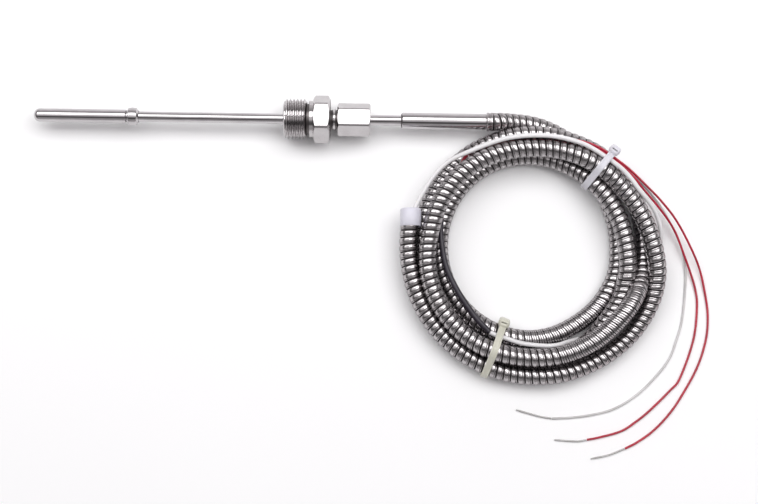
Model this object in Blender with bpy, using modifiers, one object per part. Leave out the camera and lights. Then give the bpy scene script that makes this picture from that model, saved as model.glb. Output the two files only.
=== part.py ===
"""Bearing temperature detector: a slim probe in a threaded compression fitting, with its
armoured lead wound into a flat coil and its cores fanned out beside it.

The probe lies along X with its tip towards -X. The fitting rests on one flat of its
hexagon, whose centre is the origin. Metres, +Z up.
"""
import math

import bmesh
import bpy
from mathutils import Matrix, Vector

# Clearance that a piece keeps to the one it touches
GAP = 0.0003

# Threaded fitting body
HEX_FLATS = 0.0220
HEX_LENGTH = 0.0086
SHOULDER_DIAMETER = 0.0188
SHOULDER_LENGTH = 0.0026
GROOVE_DIAMETER = 0.0164
GROOVE_LENGTH = 0.0013
THREAD_DIAMETER = 0.020955
THREAD_LENGTH = 0.0114
THREAD_CHAMFER = 0.0013
SPIGOT_DIAMETER = 0.0104
SPIGOT_LENGTH = 0.0120
SPIGOT_SHOWN = 0.0038
SPIGOT_CHAMFER = 0.0006
SEAT_MOUTH_DIAMETER = 0.0082
SEAT_HALF_ANGLE = math.radians(12.0)
HEX_CHAMFER_ANGLE = math.radians(30.0)
HEX_CHAMFER_SHARE = 0.95

# Compression nut and ferrules
NUT_FLATS = 0.0153
NUT_LENGTH = 0.0169
FERRULE_NOSE_WALL = 0.0002
FRONT_FERRULE_STICKS_OUT = 0.0010
BACK_FERRULE_DIAMETER = 0.0080
BACK_FERRULE_LENGTH = 0.0018
BACK_FERRULE_NOSE = 0.0006

# Stem, collar and tip
STEM_DIAMETER = 0.00525
STEM_WALL = 0.0005
STEM_FRONT_SHOWN = 0.0746
STEM_REAR_SHOWN = 0.0158
STEM_IN_SLEEVE = 0.0070
COLLAR_DIAMETER = 0.0092
COLLAR_LENGTH = 0.0046
COLLAR_EDGE = 0.0004
COLLAR_NECK_DIAMETER = 0.0066
COLLAR_NECK_LENGTH = 0.0008
TIP_DIAMETER = 0.00695
TIP_LENGTH = 0.0474
TIP_END_WALL = 0.0008
TIP_NOSE_RADIUS = 0.0027

# Sensing element and its leads
ELEMENT_DIAMETER = 0.0029
ELEMENT_LENGTH = 0.0220
ELEMENT_EDGE = 0.0004
CUP_LENGTH = 0.0262
CUP_FLOOR = 0.0010
CUP_TO_STEM = 0.0010
CONDUCTOR_COUNT = 3
CONDUCTOR_DIAMETER = 0.00055
CONDUCTOR_CIRCLE = 0.0019

# Transition sleeve, potting and crimp ring
SLEEVE_DIAMETER = 0.00824
SLEEVE_LENGTH = 0.0437
SLEEVE_WALL = 0.0006
SLEEVE_SHOULDER = 0.0040
SLEEVE_EDGE = 0.0011
POTTING_TO_CRIMP = 0.0039
CRIMP_DIAMETER = 0.0096
CRIMP_LENGTH = 0.0033
CRIMP_EDGE = 0.0005
CRIMP_SPIGOT_DIAMETER = 0.0064
CRIMP_SPIGOT_LENGTH = 0.0045

# Armoured hose and its coil
ARMOUR_DIAMETER = 0.0094
COIL_CENTRE = (0.1085, -0.0660)
COIL_LIFT = 0.0015
COIL_LOW_RADII = (0.0467, 0.05525, 0.0638)
COIL_HIGH_RADIUS = 0.0580
COIL_HIGH_RISE = 0.0072
COIL_OPEN_RADIUS = 0.0580
COIL_OPEN_UPPER_RADIUS = 0.0550
COIL_OPEN_UPPER_HEIGHT = 0.0112
COIL_OPEN_FROM = 276.0
COIL_OPEN_TO = 369.0
TAIL_IN_BUSHING = 0.0055

# End bushing, which points along +Y beside the coil
BUSHING_DIAMETER = 0.0108
BUSHING_LENGTH = 0.0092
BUSHING_BORE = 0.0064
BUSHING_EDGE = 0.0005
BUSHING_BASE = (0.0464, -0.0552, 0.0135)

# Lead cable, boot and cores
CABLE_DIAMETER = 0.0023
BOOT_DIAMETER = 0.0034
CORE_DIAMETER = 0.00115
STRANDS_DIAMETER = 0.0008
BUNDLE_RADIUS = 0.0009

# Cable ties, at angles round the coil that run clockwise from +Y
TIE_WIDTH = 0.0036
TIE_THICKNESS = 0.0011
TIE_HEAD_LENGTH = 0.0064
TIE_HEAD_WIDTH = 0.0058
TIE_HEAD_HEIGHT = 0.0044
TIE_HEAD_EDGE = 0.0007
TIE_SLOT_WIDTH = 0.0038
TIE_SLOT_HEIGHT = 0.0012
UPPER_TIE_ANGLE = 39.0
LOWER_TIE_ANGLE = 200.3
# Each head's middle as (radius, height), and the way it faces in the coil's section
UPPER_HEAD = (0.0656, 0.0186, 22.5)
LOWER_HEAD = (0.0397, 0.0087, 160.0)

# Faces round the turned pieces, from the largest to the wires
OUTER_STEPS = 36
INNER_STEPS = 20
COIL_STEPS = 60
COIL_OUTLINE_STEPS = 32
HULL_STEPS = 40
TUBE_SPACING = 2.6
WIRE_SPACING = 4.2

# The hose between the crimp ring and the coil
ARMOUR_LEAD_ROUTE = [
    (0.0930, 0.0000, 0.0107), (0.0980, 0.0000, 0.0098), (0.1040, -0.0003, 0.0084),
    (0.1100, -0.0014, 0.0071), (0.1150, -0.0022, 0.0063),
]

# The lead cable: out of the bushing, over the coil, under its right side, into the boot
LEAD_CABLE_ROUTE = [
    (0.0470, -0.0493, 0.0135), (0.0480, -0.0468, 0.0136), (0.0492, -0.0440, 0.0138),
    (0.0507, -0.0410, 0.0139), (0.0529, -0.0370, 0.0142), (0.0564, -0.0313, 0.0147),
    (0.0608, -0.0258, 0.0154), (0.0655, -0.0217, 0.0163), (0.0706, -0.0190, 0.0171),
    (0.0761, -0.0167, 0.0178), (0.0841, -0.0136, 0.0191), (0.0923, -0.0109, 0.0207),
    (0.1006, -0.0092, 0.0220), (0.1087, -0.0087, 0.0228), (0.1167, -0.0090, 0.0230),
    (0.1252, -0.0105, 0.0229), (0.1329, -0.0128, 0.0224), (0.1391, -0.0158, 0.0213),
    (0.1453, -0.0196, 0.0203), (0.1480, -0.0213, 0.0201), (0.1537, -0.0256, 0.0196),
    (0.1584, -0.0303, 0.0187), (0.1622, -0.0350, 0.0174), (0.1671, -0.0402, 0.0152),
    (0.1718, -0.0466, 0.0120), (0.1749, -0.0555, 0.0078), (0.1745, -0.0660, 0.0042),
    (0.1708, -0.0781, 0.0026), (0.1647, -0.0922, 0.0024), (0.1566, -0.1036, 0.0020),
    (0.1470, -0.1087, 0.0014), (0.1380, -0.1098, 0.0014), (0.1311, -0.1104, 0.0038),
    (0.1266, -0.1119, 0.0082), (0.1221, -0.1134, 0.0117), (0.1156, -0.1141, 0.0125),
    (0.1040, -0.1134, 0.0125), (0.0951, -0.1113, 0.0125), (0.0905, -0.1100, 0.0127),
    (0.0872, -0.1085, 0.0130),
]
# Points of that route that run between the turns of the coil
CABLE_HIDDEN = (21, 35)

BOOT_ROUTE = [
    (0.0869, -0.1083, 0.0130), (0.0805, -0.1018, 0.0130), (0.0743, -0.0935, 0.0130),
    (0.0690, -0.0848, 0.0130), (0.0648, -0.0755, 0.0130), (0.0626, -0.0650, 0.0130),
    (0.0618, -0.0571, 0.0130),
]

# The three cores run as a bundle to the upper tie: angle in degrees, radius and height
CORE_BUNDLE = [
    (281.6, 0.0476, 0.0130), (288.0, 0.0489, 0.0118), (296.0, 0.0511, 0.0104),
    (304.0, 0.0532, 0.0104), (311.0, 0.0552, 0.0114), (318.0, 0.0572, 0.0128),
    (325.0, 0.0584, 0.0143), (332.0, 0.0585, 0.0156), (339.0, 0.0582, 0.0168),
    (346.0, 0.0577, 0.0180), (353.0, 0.0572, 0.0191), (360.0, 0.0570, 0.0198),
    (367.0, 0.0570, 0.0200), (374.0, 0.0575, 0.0200), (381.0, 0.0588, 0.0198),
    (388.0, 0.0603, 0.0194), (394.0, 0.0613, 0.0188), (400.0, 0.0617, 0.0182),
]
# Points of the bundle that run between the turns of the coil
BUNDLE_HIDDEN = (1, 7)

# Past the tie each core has its own way to its end
RED_CORE_A_ROUTE = [
    (0.1557, -0.0234, 0.0179), (0.1612, -0.0280, 0.0166), (0.1671, -0.0333, 0.0149),
    (0.1739, -0.0395, 0.0124), (0.1816, -0.0481, 0.0094), (0.1886, -0.0590, 0.0060),
    (0.1952, -0.0725, 0.0027), (0.1986, -0.0861, 0.0010), (0.2000, -0.0976, 0.0006),
    (0.1989, -0.1099, 0.0006), (0.1942, -0.1243, 0.0006), (0.1854, -0.1401, 0.0006),
    (0.1787, -0.1494, 0.0006), (0.1709, -0.1573, 0.0006), (0.1631, -0.1628, 0.0006),
    (0.1572, -0.1659, 0.0006),
]
RED_END_A_ROUTE = [(0.1569, -0.1660, 0.0006), (0.1491, -0.1692, 0.0006), (0.1397, -0.1713, 0.0006)]

RED_CORE_B_ROUTE = [
    (0.1542, -0.0237, 0.0180), (0.1599, -0.0290, 0.0176), (0.1638, -0.0336, 0.0163),
    (0.1711, -0.0412, 0.0132), (0.1781, -0.0491, 0.0097), (0.1828, -0.0560, 0.0068),
    (0.1867, -0.0649, 0.0044), (0.1907, -0.0748, 0.0022), (0.1936, -0.0839, 0.0009),
    (0.1945, -0.0930, 0.0006), (0.1925, -0.1100, 0.0006), (0.1855, -0.1296, 0.0006),
    (0.1803, -0.1361, 0.0006), (0.1698, -0.1465, 0.0006), (0.1631, -0.1520, 0.0006),
    (0.1553, -0.1571, 0.0006), (0.1437, -0.1605, 0.0006), (0.1378, -0.1617, 0.0006),
]
RED_END_B_ROUTE = [(0.1375, -0.1618, 0.0006), (0.1320, -0.1626, 0.0006), (0.1213, -0.1620, 0.0006)]

WHITE_CORE_ROUTE = [
    (0.1545, -0.0231, 0.0163), (0.1581, -0.0256, 0.0151), (0.1660, -0.0329, 0.0125),
    (0.1732, -0.0406, 0.0094), (0.1798, -0.0499, 0.0061), (0.1842, -0.0579, 0.0037),
    (0.1870, -0.0649, 0.0025), (0.1886, -0.0747, 0.0011), (0.1884, -0.0839, 0.0006),
    (0.1876, -0.0931, 0.0006), (0.1862, -0.1024, 0.0006), (0.1838, -0.1101, 0.0006),
    (0.1804, -0.1191, 0.0006), (0.1745, -0.1274, 0.0006), (0.1639, -0.1381, 0.0006),
    (0.1521, -0.1456, 0.0006), (0.1404, -0.1490, 0.0006), (0.1303, -0.1505, 0.0006),
    (0.1200, -0.1512, 0.0006),
]
WHITE_END_ROUTE = [(0.1197, -0.1512, 0.0006), (0.1131, -0.1501, 0.0006), (0.1017, -0.1471, 0.0006)]

# Colour, roughness and metallic value of each finish
FINISHES = {
    "polished_steel": ((0.62, 0.61, 0.60), 0.16, 1.0),
    "machined_steel": ((0.56, 0.54, 0.52), 0.28, 1.0),
    "armour_steel": ((0.54, 0.52, 0.50), 0.25, 1.0),
    "ceramic": ((0.82, 0.80, 0.74), 0.55, 0.0),
    "platinum": ((0.70, 0.69, 0.67), 0.30, 1.0),
    "resin": ((0.07, 0.07, 0.08), 0.45, 0.0),
    "copper": ((0.72, 0.42, 0.28), 0.35, 1.0),
    "white_plastic": ((0.74, 0.73, 0.79), 0.40, 0.0),
    "white_jacket": ((0.80, 0.79, 0.80), 0.35, 0.0),
    "black_shrink": ((0.035, 0.030, 0.040), 0.50, 0.0),
    "red_jacket": ((0.42, 0.012, 0.035), 0.35, 0.0),
    "tinned_strands": ((0.50, 0.49, 0.49), 0.40, 1.0),
    "pale_nylon": ((0.66, 0.68, 0.70), 0.45, 0.0),
    "yellowed_nylon": ((0.62, 0.64, 0.50), 0.45, 0.0),
}

# Places along X that follow from the sizes above
AXIS_HEIGHT = HEX_FLATS / 2
HEX_FRONT = -HEX_LENGTH / 2
HEX_BACK = HEX_LENGTH / 2
SHOULDER_FRONT = HEX_FRONT - SHOULDER_LENGTH
GROOVE_FRONT = SHOULDER_FRONT - GROOVE_LENGTH
THREAD_FRONT = GROOVE_FRONT - THREAD_LENGTH
SPIGOT_BACK = HEX_BACK + SPIGOT_LENGTH
NUT_FRONT = HEX_BACK + SPIGOT_SHOWN
NUT_BACK = NUT_FRONT + NUT_LENGTH
SLEEVE_FRONT = NUT_BACK + STEM_REAR_SHOWN
SLEEVE_BACK = SLEEVE_FRONT + SLEEVE_LENGTH
CRIMP_FRONT = SLEEVE_BACK + GAP
CRIMP_BACK = CRIMP_FRONT + CRIMP_LENGTH
COLLAR_BACK = THREAD_FRONT - STEM_FRONT_SHOWN
COLLAR_FRONT = COLLAR_BACK - COLLAR_LENGTH - 2 * COLLAR_NECK_LENGTH
TIP_OPEN = COLLAR_FRONT - GAP
TIP_END = TIP_OPEN - TIP_LENGTH
CUP_FRONT = TIP_END + TIP_END_WALL + GAP
CUP_BACK = CUP_FRONT + CUP_LENGTH
ELEMENT_FRONT = CUP_FRONT + CUP_FLOOR + GAP
ELEMENT_BACK = ELEMENT_FRONT + ELEMENT_LENGTH
STEM_FRONT = CUP_BACK + CUP_TO_STEM
STEM_BACK = SLEEVE_FRONT + STEM_IN_SLEEVE
POTTING_FRONT = STEM_BACK + 2 * GAP
POTTING_BACK = CRIMP_FRONT - CRIMP_SPIGOT_LENGTH - POTTING_TO_CRIMP
STEM_BORE = STEM_DIAMETER / 2 + GAP
ARMOUR_RADIUS = ARMOUR_DIAMETER / 2
COIL_LOW_HEIGHT = COIL_LIFT + ARMOUR_RADIUS


def clear_scene():
    for obj in list(bpy.data.objects):
        bpy.data.objects.remove(obj, do_unlink=True)


def make_collections():
    parts = bpy.data.collections.new("bearing_temperature_detector")
    cutters = bpy.data.collections.new("cutters")
    for collection in (parts, cutters):
        bpy.context.scene.collection.children.link(collection)
    return parts, cutters


def finish(obj, finish_name):
    """Give an object its own Principled material in the named finish."""
    colour, roughness, metallic = FINISHES[finish_name]
    material = bpy.data.materials.new(obj.name)
    material.use_nodes = True
    shader = material.node_tree.nodes["Principled BSDF"]
    shader.inputs["Base Color"].default_value = (*colour, 1.0)
    shader.inputs["Roughness"].default_value = roughness
    shader.inputs["Metallic"].default_value = metallic
    obj.data.materials.clear()
    obj.data.materials.append(material)


def add_mesh(name, mesh, collection):
    obj = bpy.data.objects.new(name, mesh)
    collection.objects.link(obj)
    return obj


def hide_cutter(obj):
    obj.hide_render = True
    obj.display_type = "WIRE"


def lay_along_probe(obj):
    """Turn an object made along Z so that its Z runs along the probe."""
    obj.location = (0.0, 0.0, AXIS_HEIGHT)
    obj.rotation_euler = (0.0, math.pi / 2, 0.0)


def turned(name, profile, collection, steps, closed):
    """A turned solid. The profile lists (place along the axis, radius) with its outer side first,
    from low to high; a closed profile has a bore, an open one ends on the axis."""
    mesh = bpy.data.meshes.new(name)
    points = [(radius, 0.0, place) for place, radius in reversed(profile)]
    edges = [(i, i + 1) for i in range(len(points) - 1)]
    if closed:
        edges.append((len(points) - 1, 0))
    mesh.from_pydata(points, edges, [])
    obj = add_mesh(name, mesh, collection)
    screw = obj.modifiers.new("turn", "SCREW")
    screw.steps = steps
    screw.render_steps = steps
    screw.use_merge_vertices = True
    screw.merge_threshold = 0.00001
    screw.use_smooth_shade = True
    return obj


def turned_on_probe(name, profile, parts, finish_name, steps=OUTER_STEPS, closed=True):
    obj = turned(name, profile, parts, steps, closed)
    lay_along_probe(obj)
    finish(obj, finish_name)
    return obj


def rounded_corner(place, radius, size, start, turn, steps=5):
    """Points of a quarter round whose centre is (place, radius)."""
    angles = [start + turn * i / steps for i in range(steps + 1)]
    return [(place + size * math.cos(a), radius + size * math.sin(a)) for a in angles]


def hexagon_blank(name, flats, front, back, collection):
    """A hexagon prism along the probe with a flat underneath, longer than its chamfer solid."""
    mesh = bpy.data.meshes.new(name)
    work = bmesh.new()
    radius = flats / math.sqrt(3)
    length = back - front + 2 * GAP
    bmesh.ops.create_cone(work, cap_ends=True, segments=6, radius1=radius, radius2=radius, depth=length)
    bmesh.ops.translate(work, verts=work.verts, vec=(0.0, 0.0, (front + back) / 2))
    work.to_mesh(mesh)
    work.free()
    obj = add_mesh(name, mesh, collection)
    lay_along_probe(obj)
    return obj


def chamfer_solid(name, flats, front, back, cutters):
    """The double cone that a hexagon is turned down to at both ends."""
    end_radius = flats / 2 * HEX_CHAMFER_SHARE
    full_radius = flats / math.sqrt(3) * 1.03
    slope = (full_radius - end_radius) * math.tan(HEX_CHAMFER_ANGLE)
    profile = [
        (front, 0.0), (front, end_radius), (front + slope, full_radius),
        (back - slope, full_radius), (back, end_radius), (back, 0.0),
    ]
    obj = turned(name, profile, cutters, 2 * OUTER_STEPS, closed=False)
    obj.data.transform(Matrix.Rotation(math.pi / (4 * OUTER_STEPS), 4, "Z"))
    lay_along_probe(obj)
    hide_cutter(obj)
    return obj


def boolean(obj, operation, other):
    modifier = obj.modifiers.new(operation.lower(), "BOOLEAN")
    modifier.operation = operation
    modifier.object = other


def cutter_on_probe(name, profile, cutters, steps=OUTER_STEPS):
    obj = turned(name, profile, cutters, steps, closed=False)
    lay_along_probe(obj)
    hide_cutter(obj)
    return obj


def seat_radius(place):
    """Radius of the body's conical seat at a place along the probe."""
    return SEAT_MOUTH_DIAMETER / 2 - (SPIGOT_BACK - place) * math.tan(SEAT_HALF_ANGLE)


def make_fitting_body(parts, cutters):
    body = hexagon_blank("fitting_body", HEX_FLATS, HEX_FRONT, HEX_BACK, parts)
    boolean(body, "INTERSECT", chamfer_solid("body_chamfer", HEX_FLATS, HEX_FRONT, HEX_BACK, cutters))
    thread = THREAD_DIAMETER / 2
    spigot = SPIGOT_DIAMETER / 2
    spindle = [
        (THREAD_FRONT, 0.0), (THREAD_FRONT, thread - 1.5 * THREAD_CHAMFER),
        (THREAD_FRONT + THREAD_CHAMFER, thread), (GROOVE_FRONT - THREAD_CHAMFER / 2, thread),
        (GROOVE_FRONT, GROOVE_DIAMETER / 2), (SHOULDER_FRONT, GROOVE_DIAMETER / 2),
        (SHOULDER_FRONT, SHOULDER_DIAMETER / 2), (HEX_FRONT + HEX_LENGTH / 4, SHOULDER_DIAMETER / 2),
        (HEX_FRONT + HEX_LENGTH / 2, spigot), (SPIGOT_BACK - SPIGOT_CHAMFER, spigot),
        (SPIGOT_BACK, spigot - SPIGOT_CHAMFER), (SPIGOT_BACK, 0.0),
    ]
    boolean(body, "UNION", cutter_on_probe("body_spindle", spindle, cutters))
    seat_depth = (SEAT_MOUTH_DIAMETER / 2 - STEM_BORE) / math.tan(SEAT_HALF_ANGLE)
    past = 2 * GAP
    bore = [
        (THREAD_FRONT - past, 0.0), (THREAD_FRONT - past, STEM_BORE), (SPIGOT_BACK - seat_depth, STEM_BORE),
        (SPIGOT_BACK + past, seat_radius(SPIGOT_BACK + past)), (SPIGOT_BACK + past, 0.0),
    ]
    boolean(body, "DIFFERENCE", cutter_on_probe("body_bore", bore, cutters, INNER_STEPS * 2))
    finish(body, "machined_steel")


def ferrule_places():
    """Places of the two ferrules: nose, seat mouth, front ferrule's back, back ferrule's ends."""
    wall = FERRULE_NOSE_WALL + GAP / math.cos(SEAT_HALF_ANGLE)
    nose = SPIGOT_BACK - (SEAT_MOUTH_DIAMETER / 2 - STEM_BORE - wall) / math.tan(SEAT_HALF_ANGLE)
    front_back = SPIGOT_BACK + FRONT_FERRULE_STICKS_OUT
    back_front = front_back + GAP
    return nose, front_back, back_front, back_front + BACK_FERRULE_LENGTH


def make_ferrules(parts):
    nose, front_back, back_front, back_back = ferrule_places()
    clear = GAP / math.cos(SEAT_HALF_ANGLE)
    outer = seat_radius(SPIGOT_BACK) - clear
    front = [(nose, STEM_BORE + FERRULE_NOSE_WALL), (SPIGOT_BACK, outer), (front_back, outer),
             (front_back, STEM_BORE), (nose, STEM_BORE)]
    turned_on_probe("front_ferrule", front, parts, "machined_steel", INNER_STEPS * 2)
    radius = BACK_FERRULE_DIAMETER / 2
    back = [(back_front, STEM_BORE + BACK_FERRULE_NOSE), (back_front + BACK_FERRULE_NOSE, radius),
            (back_back, radius), (back_back, STEM_BORE), (back_front, STEM_BORE)]
    turned_on_probe("back_ferrule", back, parts, "machined_steel", INNER_STEPS * 2)


def make_compression_nut(parts, cutters):
    nut = hexagon_blank("compression_nut", NUT_FLATS, NUT_FRONT, NUT_BACK, parts)
    boolean(nut, "INTERSECT", chamfer_solid("nut_chamfer", NUT_FLATS, NUT_FRONT, NUT_BACK, cutters))
    shoulder = ferrule_places()[-1] + GAP
    thread = SPIGOT_DIAMETER / 2 + GAP
    pocket = BACK_FERRULE_DIAMETER / 2 + GAP
    past = 2 * GAP
    bore = [
        (NUT_FRONT - past, 0.0), (NUT_FRONT - past, thread), (SPIGOT_BACK + GAP, thread),
        (SPIGOT_BACK + GAP + thread - pocket, pocket), (shoulder, pocket), (shoulder, STEM_BORE),
        (NUT_BACK + past, STEM_BORE), (NUT_BACK + past, 0.0),
    ]
    boolean(nut, "DIFFERENCE", cutter_on_probe("nut_bore", bore, cutters, INNER_STEPS * 2))
    finish(nut, "machined_steel")


def make_stem(parts):
    outer = STEM_DIAMETER / 2
    inner = outer - STEM_WALL
    profile = [(STEM_FRONT, outer), (STEM_BACK, outer), (STEM_BACK, inner), (STEM_FRONT, inner)]
    turned_on_probe("stem_tube", profile, parts, "polished_steel")


def make_collar(parts):
    neck = COLLAR_NECK_DIAMETER / 2
    outer = COLLAR_DIAMETER / 2
    front = COLLAR_FRONT + COLLAR_NECK_LENGTH
    back = COLLAR_BACK - COLLAR_NECK_LENGTH
    profile = [
        (COLLAR_FRONT, neck), (front, neck), (front, outer - COLLAR_EDGE), (front + COLLAR_EDGE, outer),
        (back - COLLAR_EDGE, outer), (back, outer - COLLAR_EDGE), (back, neck), (COLLAR_BACK, neck),
        (COLLAR_BACK, STEM_BORE), (COLLAR_FRONT, STEM_BORE),
    ]
    turned_on_probe("retaining_collar", profile, parts, "polished_steel")


def make_tip_sleeve(parts):
    outer = TIP_DIAMETER / 2
    centre = (TIP_END + TIP_NOSE_RADIUS, outer - TIP_NOSE_RADIUS)
    nose = rounded_corner(*centre, TIP_NOSE_RADIUS, math.pi, -math.pi / 2)
    floor = TIP_END + TIP_END_WALL
    bore_corner = TIP_NOSE_RADIUS - TIP_END_WALL
    bore_centre = (floor + bore_corner, STEM_BORE - bore_corner)
    bore = rounded_corner(*bore_centre, bore_corner, math.pi / 2, math.pi / 2)
    profile = [(TIP_END, 0.0)] + nose + [(TIP_OPEN, outer), (TIP_OPEN, STEM_BORE)] + bore + [(floor, 0.0)]
    turned_on_probe("tip_sleeve", profile, parts, "polished_steel", closed=False)


def make_element(parts):
    """The insulating cup, and the sensing element that it holds."""
    outer = STEM_BORE - GAP
    bore = ELEMENT_DIAMETER / 2 + GAP
    corner = TIP_NOSE_RADIUS - TIP_END_WALL
    nose = rounded_corner(CUP_FRONT + corner, outer - corner, corner, math.pi, -math.pi / 2)
    cup = ([(CUP_FRONT, 0.0)] + nose + [(CUP_BACK, outer), (CUP_BACK, bore)]
           + [(CUP_FRONT + CUP_FLOOR, bore), (CUP_FRONT + CUP_FLOOR, 0.0)])
    turned_on_probe("element_cup", cup, parts, "ceramic", INNER_STEPS, closed=False)
    radius = ELEMENT_DIAMETER / 2
    element = [
        (ELEMENT_FRONT, 0.0), (ELEMENT_FRONT, radius - ELEMENT_EDGE), (ELEMENT_FRONT + ELEMENT_EDGE, radius),
        (ELEMENT_BACK - ELEMENT_EDGE, radius), (ELEMENT_BACK, radius - ELEMENT_EDGE), (ELEMENT_BACK, 0.0),
    ]
    turned_on_probe("rtd_element", element, parts, "platinum", INNER_STEPS, closed=False)


def conductor_places():
    """Offsets across the probe of the conductors on their circle."""
    turns = [2 * math.pi * i / CONDUCTOR_COUNT + math.pi / 2 for i in range(CONDUCTOR_COUNT)]
    return [(CONDUCTOR_CIRCLE / 2 * math.cos(a), CONDUCTOR_CIRCLE / 2 * math.sin(a)) for a in turns]


def rod_along_probe(name, radius, front, back, across, height, collection, sides):
    mesh = bpy.data.meshes.new(name)
    work = bmesh.new()
    depth = back - front
    bmesh.ops.create_cone(work, cap_ends=True, segments=sides, radius1=radius, radius2=radius, depth=depth)
    work.to_mesh(mesh)
    work.free()
    obj = add_mesh(name, mesh, collection)
    obj.location = ((front + back) / 2, across, AXIS_HEIGHT + height)
    obj.rotation_euler = (0.0, math.pi / 2, 0.0)
    return obj


def make_leads(parts, cutters):
    """The bored insulator in the stem, and the conductors that run through it to the potting."""
    outer = STEM_DIAMETER / 2 - STEM_WALL - GAP
    front = CUP_BACK + GAP
    insulator = rod_along_probe("lead_insulator", outer, front, STEM_BACK, 0.0, 0.0, parts, INNER_STEPS)
    for number, (across, height) in enumerate(conductor_places(), start=1):
        bore = rod_along_probe(f"insulator_bore_{number}", CONDUCTOR_DIAMETER / 2 + GAP, front - GAP,
                               STEM_BACK + GAP, across, height, cutters, INNER_STEPS // 2)
        hide_cutter(bore)
        boolean(insulator, "DIFFERENCE", bore)
        wire = rod_along_probe(f"conductor_{number}", CONDUCTOR_DIAMETER / 2, ELEMENT_BACK + GAP,
                               POTTING_FRONT - GAP, across, height, parts, INNER_STEPS // 2)
        finish(wire, "copper")
    finish(insulator, "ceramic")


def make_transition_sleeve(parts):
    outer = SLEEVE_DIAMETER / 2
    bore = outer - SLEEVE_WALL
    corner = rounded_corner(SLEEVE_FRONT + SLEEVE_EDGE, outer - SLEEVE_EDGE, SLEEVE_EDGE, math.pi, -math.pi / 2)
    step = SLEEVE_FRONT + SLEEVE_SHOULDER
    profile = corner + [(SLEEVE_BACK, outer), (SLEEVE_BACK, bore), (step, bore), (step, STEM_BORE),
                        (SLEEVE_FRONT, STEM_BORE)]
    turned_on_probe("transition_sleeve", profile, parts, "polished_steel")


def make_potting(parts):
    radius = SLEEVE_DIAMETER / 2 - SLEEVE_WALL - GAP
    profile = [(POTTING_FRONT, 0.0), (POTTING_FRONT, radius), (POTTING_BACK, radius), (POTTING_BACK, 0.0)]
    turned_on_probe("potting", profile, parts, "resin", INNER_STEPS, closed=False)


def make_crimp_ring(parts):
    outer = CRIMP_DIAMETER / 2
    spigot = CRIMP_SPIGOT_DIAMETER / 2
    profile = [
        (CRIMP_FRONT - CRIMP_SPIGOT_LENGTH, 0.0), (CRIMP_FRONT - CRIMP_SPIGOT_LENGTH, spigot),
        (CRIMP_FRONT, spigot), (CRIMP_FRONT, outer - CRIMP_EDGE), (CRIMP_FRONT + CRIMP_EDGE, outer),
        (CRIMP_BACK - CRIMP_EDGE, outer), (CRIMP_BACK, outer - CRIMP_EDGE), (CRIMP_BACK, 0.0),
    ]
    turned_on_probe("crimp_ring", profile, parts, "armour_steel", closed=False)


def smooth_route(points, spacing):
    """Points at about the given spacing along a smooth curve through the route's own points."""
    route = [Vector(p) for p in points]
    ends = [2 * route[0] - route[1]] + route + [2 * route[-1] - route[-2]]
    fine = []
    for before, start, end, after in zip(ends, ends[1:], ends[2:], ends[3:]):
        for step in range(12):
            t = step / 12
            fine.append(0.5 * (2 * start + (end - before) * t + (2 * before - 5 * start + 4 * end - after) * t ** 2
                               + (3 * start - before - 3 * end + after) * t ** 3))
    fine.append(route[-1])
    travelled = [0.0]
    for start, end in zip(fine, fine[1:]):
        travelled.append(travelled[-1] + (end - start).length)
    count = max(2, round(travelled[-1] / spacing))
    picked = []
    index = 0
    for number in range(count + 1):
        goal = travelled[-1] * number / count
        while index < len(fine) - 2 and travelled[index + 1] < goal:
            index += 1
        share = (goal - travelled[index]) / (travelled[index + 1] - travelled[index])
        picked.append(fine[index].lerp(fine[index + 1], min(share, 1.0)))
    return picked


def tube(name, points, diameter, collection, resolution=2):
    """A round bar along the points, with closed ends."""
    curve = bpy.data.curves.new(name, "CURVE")
    curve.dimensions = "3D"
    curve.bevel_depth = diameter / 2
    curve.bevel_resolution = resolution
    curve.use_fill_caps = True
    spline = curve.splines.new("POLY")
    spline.points.add(len(points) - 1)
    for place, point in zip(spline.points, points):
        place.co = (*point, 1.0)
    spline.use_smooth = True
    obj = bpy.data.objects.new(name, curve)
    collection.objects.link(obj)
    return obj


def as_mesh(obj, collection):
    """The same shape as a mesh with its end caps welded on, which a Boolean needs."""
    name = obj.name
    bpy.context.view_layer.update()
    graph = bpy.context.evaluated_depsgraph_get()
    mesh = bpy.data.meshes.new_from_object(obj.evaluated_get(graph))
    work = bmesh.new()
    work.from_mesh(mesh)
    bmesh.ops.remove_doubles(work, verts=work.verts, dist=0.000001)
    bmesh.ops.recalc_face_normals(work, faces=work.faces)
    work.to_mesh(mesh)
    work.free()
    matrix = obj.matrix_world.copy()
    bpy.data.objects.remove(obj, do_unlink=True)
    made = add_mesh(name, mesh, collection)
    made.matrix_world = matrix
    return made


def cord(name, points, diameter, parts, finish_name, spacing):
    obj = tube(name, smooth_route(points, spacing * diameter), diameter, parts)
    finish(obj, finish_name)
    return obj


def round_coil(angle, radius, height):
    """The point at an angle round the coil, clockwise from +Y."""
    turn = math.radians(angle)
    x = COIL_CENTRE[0] + radius * math.sin(turn)
    y = COIL_CENTRE[1] + radius * math.cos(turn)
    return Vector((x, y, height))


def coil_circles():
    """The turns in the coil's section, as (radius from the coil's axis, height, turn's radius)."""
    low = [(radius, COIL_LOW_HEIGHT, ARMOUR_RADIUS) for radius in COIL_LOW_RADII]
    return low + [(COIL_HIGH_RADIUS, COIL_LOW_HEIGHT + COIL_HIGH_RISE, ARMOUR_RADIUS)]


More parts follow.
